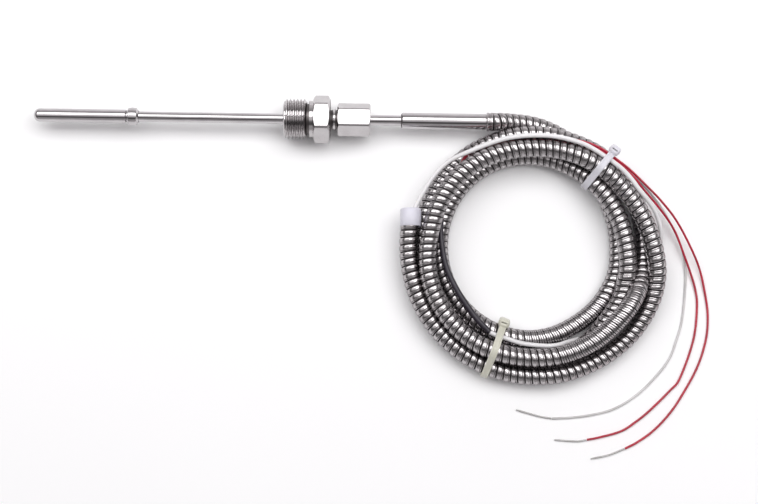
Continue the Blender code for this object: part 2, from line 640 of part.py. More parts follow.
def coil_outline():
    """The scalloped outline round the turns, as seen from the middle of the section."""
    middle = (COIL_LOW_RADII[1], COIL_LOW_HEIGHT + COIL_HIGH_RISE / 3)
    outline = []
    for step in range(COIL_OUTLINE_STEPS):
        angle = -2 * math.pi * step / COIL_OUTLINE_STEPS
        along = (math.cos(angle), math.sin(angle))
        reach = 0.0
        for radius, height, size in coil_circles():
            offset = (radius - middle[0], height - middle[1])
            forward = offset[0] * along[0] + offset[1] * along[1]
            aside = offset[0] * along[1] - offset[1] * along[0]
            if abs(aside) < size:
                reach = max(reach, forward + math.sqrt(size ** 2 - aside ** 2))
        outline.append((middle[0] + reach * along[0], middle[1] + reach * along[1]))
    return outline


def sector(name, start, end, inner, outer, cutters, bottom=-2 * ARMOUR_DIAMETER):
    """A tall block over part of the coil's round, between two radii and from a height up."""
    mesh = bpy.data.meshes.new(name)
    work = bmesh.new()
    count = 18
    angles = [start + (end - start) * i / count for i in range(count + 1)]
    rim = [round_coil(a, outer, bottom) for a in angles] + [round_coil(a, inner, bottom) for a in reversed(angles)]
    face = work.faces.new([work.verts.new(point) for point in rim])
    grown = bmesh.ops.extrude_face_region(work, geom=[face])
    raised = [item for item in grown["geom"] if isinstance(item, bmesh.types.BMVert)]
    bmesh.ops.translate(work, verts=raised, vec=(0.0, 0.0, 6 * ARMOUR_DIAMETER))
    bmesh.ops.recalc_face_normals(work, faces=work.faces)
    work.to_mesh(mesh)
    work.free()
    obj = add_mesh(name, mesh, cutters)
    hide_cutter(obj)
    return obj


def channel(name, points, diameter, cutters, spacing):
    """A cutter that leaves room for a cord between the coil's turns."""
    obj = tube(name, smooth_route(points, spacing), diameter + 2 * GAP, cutters)
    obj = as_mesh(obj, cutters)
    hide_cutter(obj)
    return obj


def make_coil(parts, cutters):
    mesh = bpy.data.meshes.new("armour_coil")
    outline = coil_outline()
    points = [(radius, 0.0, height) for radius, height in outline]
    edges = [(i, (i + 1) % len(points)) for i in range(len(points))]
    mesh.from_pydata(points, edges, [])
    coil = add_mesh("armour_coil", mesh, parts)
    coil.location = (*COIL_CENTRE, 0.0)
    screw = coil.modifiers.new("turn", "SCREW")
    screw.steps = COIL_STEPS
    screw.render_steps = COIL_STEPS
    screw.use_merge_vertices = True
    screw.merge_threshold = 0.00001
    screw.use_smooth_shade = True
    outer = max(COIL_LOW_RADII) + 2 * ARMOUR_RADIUS
    opening = sector("coil_opening", COIL_OPEN_FROM, COIL_OPEN_TO, COIL_OPEN_RADIUS, outer, cutters)
    boolean(coil, "DIFFERENCE", opening)
    upper = sector("coil_upper_opening", COIL_OPEN_FROM, COIL_OPEN_TO, COIL_OPEN_UPPER_RADIUS, outer, cutters,
                   COIL_OPEN_UPPER_HEIGHT)
    boolean(coil, "DIFFERENCE", upper)
    hidden_cable = LEAD_CABLE_ROUTE[CABLE_HIDDEN[0]:CABLE_HIDDEN[1] + 1]
    boolean(coil, "DIFFERENCE", channel("cable_channel", hidden_cable, CABLE_DIAMETER, cutters,
                                        TUBE_SPACING * CABLE_DIAMETER))
    hidden_cores = [round_coil(*p) for p in CORE_BUNDLE[BUNDLE_HIDDEN[0]:BUNDLE_HIDDEN[1] + 1]]
    bundle = 2 * BUNDLE_RADIUS + CORE_DIAMETER
    boolean(coil, "DIFFERENCE", channel("core_channel", hidden_cores, bundle, cutters, TUBE_SPACING * bundle))
    finish(coil, "armour_steel")


def make_armour_ends(parts, cutters):
    """The hose from the crimp ring to the coil, and its tail into the bushing."""
    start = (CRIMP_BACK + GAP, 0.0, AXIS_HEIGHT)
    join = round_coil(COIL_OPEN_TO + 4.0, COIL_LOW_RADII[2], COIL_LOW_HEIGHT)
    route = [start] + ARMOUR_LEAD_ROUTE + [join]
    lead = tube("armour_lead", smooth_route(route, ARMOUR_RADIUS), ARMOUR_DIAMETER, parts, 4)
    lead = as_mesh(lead, parts)
    gap_angle = math.degrees(GAP / COIL_OPEN_RADIUS)
    inner = COIL_OPEN_RADIUS - ARMOUR_DIAMETER
    outer = max(COIL_LOW_RADII) + 2 * ARMOUR_DIAMETER
    stop = sector("lead_stop", COIL_OPEN_TO - gap_angle, COIL_OPEN_TO + 60.0, inner, outer, cutters)
    boolean(lead, "DIFFERENCE", stop)
    finish(lead, "armour_steel")
    tail_start = round_coil(COIL_OPEN_FROM - 3.0, COIL_LOW_RADII[2] - ARMOUR_RADIUS / 8, BUSHING_BASE[2])
    base = Vector(BUSHING_BASE)
    tail_end = base + Vector((0.0, TAIL_IN_BUSHING, 0.0))
    points = smooth_route([tail_start, (tail_start + base) / 2, base, tail_end], ARMOUR_RADIUS / 2)
    tail = as_mesh(tube("armour_tail", points, ARMOUR_DIAMETER, parts, 4), parts)
    stop = sector("tail_stop", COIL_OPEN_FROM - 40.0, COIL_OPEN_FROM + gap_angle, inner, outer, cutters)
    boolean(tail, "DIFFERENCE", stop)
    finish(tail, "armour_steel")


def make_bushing(parts):
    outer = BUSHING_DIAMETER / 2
    bore = BUSHING_BORE / 2
    socket = ARMOUR_RADIUS + GAP
    floor = TAIL_IN_BUSHING + GAP
    profile = [
        (0.0, outer), (BUSHING_LENGTH - BUSHING_EDGE, outer), (BUSHING_LENGTH, outer - BUSHING_EDGE),
        (BUSHING_LENGTH, bore), (floor, bore), (floor, socket), (0.0, socket),
    ]
    obj = turned("end_bushing", profile, parts, OUTER_STEPS, closed=True)
    obj.location = BUSHING_BASE
    obj.rotation_euler = (-math.pi / 2, 0.0, 0.0)
    finish(obj, "white_plastic")


def make_cable_and_cores(parts):
    cord("lead_cable", LEAD_CABLE_ROUTE, CABLE_DIAMETER, parts, "white_jacket", TUBE_SPACING)
    cord("heat_shrink_boot", BOOT_ROUTE, BOOT_DIAMETER, parts, "black_shrink", TUBE_SPACING)
    cores = [
        ("red", "_a", 30.0, RED_CORE_A_ROUTE, RED_END_A_ROUTE, "red_jacket"),
        ("red", "_b", 150.0, RED_CORE_B_ROUTE, RED_END_B_ROUTE, "red_jacket"),
        ("white", "", 270.0, WHITE_CORE_ROUTE, WHITE_END_ROUTE, "white_jacket"),
    ]
    for colour, letter, place, route, end_route, finish_name in cores:
        outward = BUNDLE_RADIUS * math.cos(math.radians(place))
        upward = BUNDLE_RADIUS * math.sin(math.radians(place))
        bundle = [round_coil(angle, radius + outward, height + upward) for angle, radius, height in CORE_BUNDLE]
        cord(f"{colour}_core{letter}", bundle + route, CORE_DIAMETER, parts, finish_name, WIRE_SPACING)
        cord(f"{colour}_end{letter}", end_route, STRANDS_DIAMETER, parts, "tinned_strands", WIRE_SPACING)


def hull_outline(circles, offset):
    """The outline of a band pulled tight round the circles, at an offset from them."""
    outline = []
    for step in range(HULL_STEPS):
        angle = 2 * math.pi * step / HULL_STEPS
        along = (math.cos(angle), math.sin(angle))
        radius, height, size = max(circles, key=lambda c: c[0] * along[0] + c[1] * along[1] + c[2])
        outline.append((radius + (size + offset) * along[0], height + (size + offset) * along[1]))
    return outline


def flat_ring(name, outer, inner, thickness, collection):
    """A flat plate between two outlines, in its own XY plane."""
    curve = bpy.data.curves.new(name, "CURVE")
    curve.dimensions = "2D"
    curve.fill_mode = "BOTH"
    curve.extrude = thickness / 2
    for outline in (outer, inner):
        spline = curve.splines.new("POLY")
        spline.points.add(len(outline) - 1)
        for place, (x, y) in zip(spline.points, outline):
            place.co = (x, y, 0.0, 1.0)
        spline.use_cyclic_u = True
    obj = bpy.data.objects.new(name, curve)
    collection.objects.link(obj)
    return obj


def rounded_block(name, size, edge, collection):
    mesh = bpy.data.meshes.new(name)
    work = bmesh.new()
    bmesh.ops.create_cube(work, size=1.0)
    bmesh.ops.scale(work, verts=work.verts, vec=size)
    work.to_mesh(mesh)
    work.free()
    obj = add_mesh(name, mesh, collection)
    if edge:
        bevel = obj.modifiers.new("edges", "BEVEL")
        bevel.width = edge
        bevel.segments = 2
    return obj


def section_frame(angle):
    """World matrix of the coil's section at an angle: X outwards, Y up, Z along the turns."""
    turn = math.radians(angle)
    outward = Vector((math.sin(turn), math.cos(turn), 0.0))
    upward = Vector((0.0, 0.0, 1.0))
    matrix = Matrix.Identity(4)
    for column, axis in enumerate((outward, upward, outward.cross(upward))):
        for row in range(3):
            matrix[row][column] = axis[row]
    matrix.translation = (*COIL_CENTRE, 0.0)
    return matrix


def make_tie(name, angle, extra_circles, head_place, parts, cutters, finish_name):
    """A cable tie round the coil: its strap hugs the turns and its head sits on the strap."""
    circles = coil_circles() + extra_circles
    inner = hull_outline(circles, GAP)
    outer = hull_outline(circles, GAP + TIE_THICKNESS)
    frame = section_frame(angle)
    strap = flat_ring(name, outer, inner, TIE_WIDTH, parts)
    strap.matrix_world = frame
    strap = as_mesh(strap, parts)
    radius, height, direction = head_place
    place = Matrix.Translation((radius, height, 0.0))
    tilt = Matrix.Rotation(math.radians(direction - 90.0), 4, "Z")
    head = rounded_block(f"{name}_head", (TIE_HEAD_LENGTH, TIE_HEAD_HEIGHT, TIE_HEAD_WIDTH), TIE_HEAD_EDGE, cutters)
    head.matrix_world = frame @ place @ tilt
    hide_cutter(head)
    slot = rounded_block(f"{name}_slot", (TIE_HEAD_LENGTH * 2, TIE_SLOT_HEIGHT, TIE_SLOT_WIDTH), 0.0, cutters)
    lift = Matrix.Translation((0.0, TIE_HEAD_HEIGHT / 2 - TIE_SLOT_HEIGHT, 0.0))
    slot.matrix_world = frame @ place @ tilt @ lift
    hide_cutter(slot)
    boolean(strap, "UNION", head)
    boolean(strap, "DIFFERENCE", slot)
    finish(strap, finish_name)


def make_ties(parts, cutters):
    cable = (0.0595, 0.0203, CABLE_DIAMETER / 2 + GAP)
    bundle = (CORE_BUNDLE[-1][1], CORE_BUNDLE[-1][2], BUNDLE_RADIUS + CORE_DIAMETER / 2 + GAP)
    make_tie("cable_tie_upper", UPPER_TIE_ANGLE, [cable, bundle], UPPER_HEAD, parts, cutters,
             "pale_nylon")
    cable = (0.0473, 0.0126, CABLE_DIAMETER / 2)
    make_tie("cable_tie_lower", LOWER_TIE_ANGLE, [cable], LOWER_HEAD, parts, cutters,
             "yellowed_nylon")


def main():
    clear_scene()
    parts, cutters = make_collections()
    make_fitting_body(parts, cutters)
    make_ferrules(parts)
    make_compression_nut(parts, cutters)
    make_stem(parts)
    make_collar(parts)
    make_tip_sleeve(parts)
    make_element(parts)
    make_leads(parts, cutters)
    make_transition_sleeve(parts)
    make_potting(parts)
    make_crimp_ring(parts)
    make_coil(parts, cutters)
    make_armour_ends(parts, cutters)
    make_bushing(parts)
    make_cable_and_cores(parts)
    make_ties(parts, cutters)


main()
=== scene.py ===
"""Looks of the bearing temperature detector: camera, light, floor, and every visible piece
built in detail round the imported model. Metres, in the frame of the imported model."""
import math

import bmesh
import bpy
import numpy as np
from mathutils import Matrix, Vector


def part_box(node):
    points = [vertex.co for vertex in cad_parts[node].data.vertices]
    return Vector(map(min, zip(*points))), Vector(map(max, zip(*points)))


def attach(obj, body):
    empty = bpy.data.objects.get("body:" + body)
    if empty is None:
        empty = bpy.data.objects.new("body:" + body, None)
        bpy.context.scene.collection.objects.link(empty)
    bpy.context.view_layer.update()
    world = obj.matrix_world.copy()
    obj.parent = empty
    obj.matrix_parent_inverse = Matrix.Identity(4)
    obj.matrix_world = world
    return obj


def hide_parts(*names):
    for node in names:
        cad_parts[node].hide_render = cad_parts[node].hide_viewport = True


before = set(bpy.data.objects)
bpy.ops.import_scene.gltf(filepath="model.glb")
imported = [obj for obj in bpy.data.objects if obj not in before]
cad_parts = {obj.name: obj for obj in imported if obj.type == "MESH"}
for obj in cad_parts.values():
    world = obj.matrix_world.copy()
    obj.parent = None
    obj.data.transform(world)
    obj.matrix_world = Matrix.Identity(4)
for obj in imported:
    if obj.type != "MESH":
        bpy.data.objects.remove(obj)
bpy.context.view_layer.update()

MM = 0.001
AXIS_HEIGHT = 0.011

# Camera: place, turns in degrees, and lens and sensor in millimetres
CAMERA_PLACE = (0.03051, -0.16303, 0.80537)
CAMERA_TILT = 6.8
CAMERA_ROLL = 0.89
CAMERA_LENS = 74.54
CAMERA_SENSOR = 36.0
CAMERA_NEAR = 0.01


def add_object(name, data):
    obj = bpy.data.objects.new(name, data)
    bpy.context.scene.collection.objects.link(obj)
    return obj


def make_camera():
    data = bpy.data.cameras.new("camera")
    data.lens = CAMERA_LENS
    data.sensor_width = CAMERA_SENSOR
    data.clip_start = CAMERA_NEAR
    camera = add_object("camera", data)
    tilt = Matrix.Rotation(math.radians(CAMERA_TILT), 4, "X")
    roll = Matrix.Rotation(math.radians(CAMERA_ROLL), 4, "Z")
    camera.matrix_world = Matrix.Translation(CAMERA_PLACE) @ (tilt @ roll)
    bpy.context.scene.camera = camera


make_camera()


# Materials. Scales are features per metre, roughly, and bump distances are metres
def new_material(name):
    material = bpy.data.materials.new(name)
    material.use_nodes = True
    nodes = material.node_tree.nodes
    return material, nodes, material.node_tree.links, nodes["Principled BSDF"]


def ramp(nodes, links, source, low, high, low_at=0.3, high_at=0.7):
    """A value that runs from low to high as the source runs from low_at to high_at."""
    node = nodes.new("ShaderNodeMapRange")
    node.inputs["From Min"].default_value = low_at
    node.inputs["From Max"].default_value = high_at
    node.inputs["To Min"].default_value = low
    node.inputs["To Max"].default_value = high
    links.new(source, node.inputs["Value"])
    return node.outputs["Result"]


def coordinates(nodes, links, stretch=(1.0, 1.0, 1.0)):
    place = nodes.new("ShaderNodeTexCoord")
    mapping = nodes.new("ShaderNodeMapping")
    mapping.inputs["Scale"].default_value = stretch
    links.new(place.outputs["Object"], mapping.inputs["Vector"])
    return mapping.outputs["Vector"]


def noise(nodes, links, vector, scale, detail=4.0, roughness=0.55):
    node = nodes.new("ShaderNodeTexNoise")
    node.inputs["Scale"].default_value = scale
    node.inputs["Detail"].default_value = detail
    node.inputs["Roughness"].default_value = roughness
    links.new(vector, node.inputs["Vector"])
    return node.outputs["Fac"]


def mix_colours(nodes, links, factor, first, second, blend="MIX"):
    """Two colours mixed. Each of the three is a value or another node's output."""
    mix = nodes.new("ShaderNodeMix")
    mix.data_type = "RGBA"
    mix.blend_type = blend
    for name, value in (("Factor", factor), ("A", first), ("B", second)):
        if isinstance(value, bpy.types.NodeSocket):
            links.new(value, mix.inputs[name])
        else:
            mix.inputs[name].default_value = value
    return mix.outputs["Result"]


def two_tone(nodes, links, source, first, second):
    factor = ramp(nodes, links, source, 0.0, 1.0, 0.35, 0.65)
    return mix_colours(nodes, links, factor, (*first, 1.0), (*second, 1.0))


def bump(nodes, links, shader, height, strength, distance):
    node = nodes.new("ShaderNodeBump")
    node.inputs["Strength"].default_value = strength
    node.inputs["Distance"].default_value = distance
    links.new(height, node.inputs["Height"])
    links.new(node.outputs["Normal"], shader.inputs["Normal"])


def turned_steel(name, light, dark, smooth, rough, marks, mark_depth):
    """Stainless steel with marks that run round the probe, and faint handling blotches."""
    material, nodes, links, shader = new_material(name)
    shader.inputs["Metallic"].default_value = 1.0
    round_probe = coordinates(nodes, links, (1.0, 0.02, 0.02))
    rings = noise(nodes, links, round_probe, marks, detail=6.0, roughness=0.7)
    blotch = noise(nodes, links, coordinates(nodes, links), 140.0, detail=5.0)
    links.new(two_tone(nodes, links, blotch, light, dark), shader.inputs["Base Color"])
    links.new(ramp(nodes, links, blotch, smooth, rough), shader.inputs["Roughness"])
    bump(nodes, links, shader, rings, 0.35, mark_depth)
    return material


def armour_steel(name):
    """Bright rolled strip, darker and duller in its grooves, from dirt and painted shade."""
    dirt_and_shade = (0.035, 0.030, 0.031, 1.0)
    groove_roughness = 0.3
    material, nodes, links, shader = new_material(name)
    shader.inputs["Metallic"].default_value = 1.0
    shader.inputs["Specular Tint"].default_value = (0.6, 0.58, 0.59, 1.0)
    groove = nodes.new("ShaderNodeAttribute")
    groove.attribute_name = "groove"
    vector = coordinates(nodes, links)
    blotch = noise(nodes, links, vector, 210.0, detail=5.0)
    grain = noise(nodes, links, vector, 2600.0, detail=3.0)
    clean = two_tone(nodes, links, blotch, (0.53, 0.508, 0.514), (0.43, 0.410, 0.416))
    # The grooves get dirt and painted shade, by how deep each point lies in them
    colour = mix_colours(nodes, links, groove.outputs["Fac"], clean, dirt_and_shade)
    links.new(colour, shader.inputs["Base Color"])
    add = nodes.new("ShaderNodeMath")
    add.operation = "MULTIPLY_ADD"
    add.inputs[1].default_value = groove_roughness
    links.new(groove.outputs["Fac"], add.inputs[0])
    links.new(ramp(nodes, links, blotch, 0.17, 0.25), add.inputs[2])
    links.new(add.outputs["Value"], shader.inputs["Roughness"])
    bump(nodes, links, shader, grain, 0.10, 0.00001)
    return material


def moulded(name, first, second, roughness, grain, depth, see_through=0.0):
    """Plastic or rubber with a slight mottle and a fine surface grain."""
    material, nodes, links, shader = new_material(name)
    vector = coordinates(nodes, links)
    cloud = noise(nodes, links, vector, 90.0)
    fine = noise(nodes, links, vector, grain, detail=3.0)
    links.new(two_tone(nodes, links, cloud, first, second), shader.inputs["Base Color"])
    uneven = ramp(nodes, links, fine, roughness - 0.06, roughness + 0.08)
    links.new(uneven, shader.inputs["Roughness"])
    if see_through:
        shader.inputs["Subsurface Weight"].default_value = see_through
        shader.inputs["Subsurface Radius"].default_value = (0.0020, 0.0020, 0.0018)
        shader.inputs["Subsurface Scale"].default_value = 1.0
    bump(nodes, links, shader, fine, 0.2, depth)
    return material


# Steels: light and dark tone, roughness from and to, scale and depth of the turning marks
POLISHED = turned_steel(
    "polished_steel", (0.57, 0.55, 0.56), (0.51, 0.49, 0.50), 0.08, 0.14, 5000.0, 0.00001)
MACHINED = turned_steel(
    "machined_steel", (0.55, 0.53, 0.535), (0.48, 0.46, 0.465), 0.12, 0.19, 3800.0, 0.000012)
# Dark steel that stands for painted shade in the probe's grooves, rims and hollows
SHADED = turned_steel(
    "painted_shade_steel", (0.16, 0.145, 0.145), (0.11, 0.10, 0.10), 0.35, 0.5, 3800.0, 0.000012)
PLATINUM = turned_steel(
    "element_sheath", (0.70, 0.69, 0.67), (0.64, 0.63, 0.61), 0.25, 0.35, 3000.0, 0.00002)
COPPER = turned_steel(
    "conductor", (0.72, 0.42, 0.28), (0.60, 0.34, 0.22), 0.30, 0.42, 3000.0, 0.00002)
TINNED = turned_steel(
    "tinned_strands", (0.52, 0.51, 0.51), (0.40, 0.39, 0.38), 0.32, 0.45, 5000.0, 0.00001)
ARMOUR = armour_steel("armour_steel")
# Plastics and resins: two tones, roughness, scale and depth of the grain, and subsurface
CERAMIC = moulded(
    "ceramic", (0.82, 0.80, 0.74), (0.76, 0.73, 0.66), 0.6, 1800.0, 0.00004)
RESIN = moulded(
    "potting_resin", (0.07, 0.07, 0.08), (0.05, 0.05, 0.055), 0.4, 600.0, 0.00006)
WHITE_PLASTIC = moulded(
    "white_plastic", (0.72, 0.71, 0.79), (0.66, 0.65, 0.73), 0.38, 1500.0, 0.00003, 0.15)
WHITE_JACKET = moulded(
    "white_jacket", (0.80, 0.79, 0.80), (0.72, 0.71, 0.72), 0.34, 1700.0, 0.00003, 0.1)
WHITE_CORE = moulded(
    "white_core_jacket", (0.62, 0.61, 0.61), (0.50, 0.49, 0.49), 0.32, 2500.0, 0.00002)
BLACK_SHRINK = moulded(
    "black_shrink", (0.028, 0.022, 0.033), (0.018, 0.014, 0.022), 0.38, 900.0, 0.00006)
RED_JACKET = moulded(
    "red_jacket", (0.46, 0.012, 0.040), (0.34, 0.008, 0.030), 0.30, 2500.0, 0.00002)
PALE_NYLON = moulded(
    "pale_nylon", (0.71, 0.70, 0.75), (0.64, 0.63, 0.68), 0.36, 1300.0, 0.00003, 0.35)
YELLOWED_NYLON = moulded(
    "yellowed_nylon", (0.64, 0.63, 0.55), (0.57, 0.565, 0.48), 0.36, 1300.0, 0.00003, 0.35)

# Mesh helpers
MERGE_WITHIN = 0.000002
SHORTEST_EDGE = 0.000001
ROUTE_STEPS = 12
END_ROUNDING = 0.15


def dress(obj, slot, *nodes):
    """The piece rides on the part and stands for its nodes, whose solids are hidden. The slot is
    not used.
    """
    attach(obj, "root")
    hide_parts(*nodes)


def mesh_object(name, vertices, faces, material, sharp=32.0):
    mesh = bpy.data.meshes.new(name)
    mesh.from_pydata([tuple(v) for v in vertices], [], faces)
    work = bmesh.new()
    work.from_mesh(mesh)
    bmesh.ops.remove_doubles(work, verts=work.verts, dist=MERGE_WITHIN)
    bmesh.ops.dissolve_degenerate(work, edges=work.edges, dist=SHORTEST_EDGE)
    bmesh.ops.recalc_face_normals(work, faces=work.faces)
    work.to_mesh(mesh)
    work.free()
    mesh.materials.append(material)
    mesh.shade_smooth()
    mesh.set_sharp_from_angle(angle=math.radians(sharp))
    return add_object(name, mesh)


def grid_faces(rows, columns, closed):
    """Faces between rows of points that go once round; closed joins last row and first."""
    faces = []
    for row in range(rows if closed else rows - 1):
        low, high = row * columns, (row + 1) % rows * columns
        for column in range(columns):
            after = (column + 1) % columns
            faces.append((low + column, low + after, high + after, high + column))
    return faces


def lathe(name, rows, material, columns=96, closed=True, sharp=32.0, turns=None):
    """A body along the probe. Each row gives a place along it and a radius, each of them one
    number or one for each column; a closed body's last row joins its first, round a bore."""
    if turns is None:
        turns = 2 * math.pi * np.arange(columns) / columns
    columns = len(turns)
    vertices = []
    for place, radius in rows:
        place = np.broadcast_to(place, columns)
        radius = np.broadcast_to(radius, columns)
        for x, r, a in zip(place, radius, turns):
            vertices.append((x, r * math.sin(a), AXIS_HEIGHT + r * math.cos(a)))
    return mesh_object(name, vertices, grid_faces(len(rows), columns, closed), material, sharp)


def arc(place, radius, size, start, end, steps=6):
    """Rows of a rounded corner whose centre is at (place, radius), with angles in degrees."""
    angles = np.radians(np.linspace(start, end, steps))
    return [(place + size * math.cos(a), radius + size * math.sin(a)) for a in angles]


def travelled_along(path):
    return np.r_[0, np.cumsum(np.linalg.norm(np.diff(path, axis=0), axis=1))]


def route_length(path):
    return float(np.linalg.norm(np.diff(path, axis=0), axis=1).sum())


def even_points(fine, spacing):
    travelled = travelled_along(fine)
    count = max(2, round(travelled[-1] / spacing))
    goal = np.linspace(0, travelled[-1], count + 1)
    return np.stack([np.interp(goal, travelled, fine[:, k]) for k in range(3)], axis=1)


def smooth_points(points, spacing):
    """Points at the given spacing along a smooth curve through the route's own points."""
    route = np.array(points, float)
    ends = np.vstack([2 * route[0] - route[1], route, 2 * route[-1] - route[-2]])
    t = np.arange(ROUTE_STEPS)[:, None] / ROUTE_STEPS
    fine = []
    for before, start, end, after in zip(ends, ends[1:], ends[2:], ends[3:]):
        fine.append(0.5 * (2 * start + (end - before) * t
                           + (2 * before - 5 * start + 4 * end - after) * t ** 2
                           + (3 * start - before - 3 * end + after) * t ** 3))
    return even_points(np.vstack(fine + [route[-1:]]), spacing)


def path_frames(path):
    """Two directions across the path at each of its points, without twist."""
    along = np.gradient(path, axis=0)
    along /= np.linalg.norm(along, axis=1)[:, None]
    side = np.cross(along[0], (0.0, 0.0, 1.0))
    side /= np.linalg.norm(side)
    sides = []
    for direction in along:
        side = side - direction * side.dot(direction)
        side /= np.linalg.norm(side)
        sides.append(side)
    sides = np.array(sides)
    return sides, np.cross(along, sides)


def sweep(name, path, rings, material, columns=20, sharp=40.0):
    """A tube along the path. Each ring gives the distance along the path and the radius, each
    of them one number or one for each column; both ends are closed."""
    travelled = travelled_along(path)
    side, up = path_frames(path)
    turns = 2 * math.pi * np.arange(columns) / columns
    across, upward = np.cos(turns)[:, None], np.sin(turns)[:, None]

    def at(goal, line):
        return np.array([np.interp(goal, travelled, line[:, k]) for k in range(3)]).T

    vertices = []
    for goal, radius in rings:
        goal = np.clip(np.broadcast_to(goal, columns), 0, travelled[-1])
        radius = np.broadcast_to(radius, columns)[:, None]
        vertices.append(at(goal, path) + radius * (across * at(goal, side) + upward * at(goal, up)))
    vertices = np.vstack(vertices)
    faces = grid_faces(len(rings), columns, closed=False)
    faces.append(tuple(range(columns)))
    faces.append(tuple(range(len(vertices) - columns, len(vertices))))
    return mesh_object(name, vertices, faces, material, sharp)


def plain_tube(name, path, diameter, material, columns=20):
    """A round cord along the path, its end edges a little rounded."""
    length = route_length(path)
    radius = diameter / 2
    small = END_ROUNDING * radius
    rings = [(0.0, radius - small), (small, radius)]
    rings += [(s, radius) for s in np.linspace(0, length, len(path))[1:-1]]
    rings += [(length - small, radius), (length, radius - small)]
    return sweep(name, path, rings, material, columns)


# The coil of armoured hose. Angles are in degrees, clockwise from +Y, and this block's
# radii, heights and distances are in millimetres
COIL_CENTRE = (0.1085, -0.0660)
# Angle, radius and height along the hose
COIL_STATIONS = [
    (-17.25, 69.1, 11.0), (-13.5, 68.15, 10.3), (-9.0, 67.1, 8.8), (-4.3, 66.35, 7.2),
    (2, 65.2, 6.3), (14, 61.9, 5.0), (29, 56.8, 4.9), (43, 51.2, 4.8), (58, 47.2, 4.8),
    (73, 45.9, 4.8), (88, 44.9, 4.8), (103, 45.1, 4.8), (118, 44.6, 4.8), (133, 44.1, 4.8),
    (149, 43.9, 4.8), (165, 44.6, 4.8), (180, 45.2, 4.8), (210, 45.8, 4.8), (240, 46.2, 4.8),
    (270, 47.2, 4.8), (300, 48.5, 4.8), (330, 49.5, 4.8), (360, 49.4, 5.0), (389, 47.5, 10.0),
    (419, 46.6, 14.0), (449, 48.0, 14.0), (464, 50.0, 12.6), (479, 51.6, 11.0), (491, 52.1, 9.8),
    (503, 53.8, 7.3), (513, 55.6, 5.0), (524, 56.2, 4.8), (540, 55.4, 4.8), (570, 54.9, 4.8),
    (600, 55.3, 4.8), (630, 56.5, 4.8), (660, 57.8, 5.0), (690, 59.1, 7.5), (719, 59.3, 12.5),
    (749, 59.2, 12.5), (763, 60.3, 9.0), (778, 61.0, 6.0), (793, 58.8, 5.6), (808, 57.7, 6.0),
    (820, 57.3, 7.0), (828, 57.1, 9.5), (835, 56.9, 13.0), (842, 56.4, 15.5), (849, 55.9, 16.5),
    (861, 55.8, 16.0), (870, 55.8, 14.8), (885, 55.5, 14.2), (901, 55.1, 14.2), (930, 55.7, 14.2),
    (960, 55.1, 14.2), (972, 54.6, 14.3), (989, 53.3, 15.0), (996, 52.8, 15.6),
    (1004, 52.6, 16.2), (1019, 52.7, 17.0), (1035, 52.7, 17.6), (1049, 52.4, 17.6),
    (1079, 51.6, 18.0), (1109, 53.1, 17.0), (1139, 56.2, 16.0), (1169, 61.9, 13.5),
    (1181, 65.1, 10.5), (1192, 66.2, 7.5), (1202, 66.3, 5.8), (1212, 66.0, 5.2),
    (1222, 65.4, 5.2), (1231, 64.9, 5.2), (1244, 64.3, 5.2), (1260, 63.7, 5.2), (1290, 63.0, 5.5),
    (1320, 62.8, 7.0), (1349, 63.0, 11.5), (1361.5, 63.6, 13.5),
]
TURN_STEP = 2.0
STRAND_SPACING = 9.15
FLOOR_CLEARANCE = 4.72
# Where the turns cross they press together: angle, half width and how much closer they lie
CROSSING = (106.0, 18.0, 1.5)
# Where something passes under the hose: angle, room that it needs, half the length of the
# rise, and whether it lies under every turn
PASSES_UNDER = [(39.0, 1.4, 25.0, True), (200.3, 1.4, 25.0, True), (501.0, 2.75, 24.0, False)]
# How the turns are pushed apart and held near their stations in each of the rounds
SETTLING_ROUNDS = 600
OUTWARD_PUSH = 0.20
UPWARD_PUSH = 0.6
RADIUS_PULL = 0.12
HEIGHT_PULL = 0.01
SMOOTHING = 0.4


def hermite(x, y, wanted):
    slope = np.gradient(y, x)
    i = np.clip(np.searchsorted(x, wanted) - 1, 0, len(x) - 2)
    h = x[i + 1] - x[i]
    u = (wanted - x[i]) / h
    return ((2 * u ** 3 - 3 * u ** 2 + 1) * y[i] + (u ** 3 - 2 * u ** 2 + u) * h * slope[i]
            + (3 * u ** 2 - 2 * u ** 3) * y[i + 1] + (u ** 3 - u ** 2) * h * slope[i + 1])


def degrees_apart(angle, other):
    return np.abs((angle - other + 180) % 360 - 180)


def bell(away, reach):
    """1 in the middle, eased to 0 at the reach and beyond."""
    return np.cos(np.clip(away / reach, 0, 1) * math.pi / 2) ** 2


def floor_height(angle):
    """Lowest height of the hose's middle, eased up over the straps and the cable under it."""
    height = np.full(len(angle), FLOOR_CLEARANCE)
    for middle, room, reach, every_turn in PASSES_UNDER:
        away = degrees_apart(angle, middle) if every_turn else np.abs(angle - middle)
        height += room * bell(away, reach)
    return height


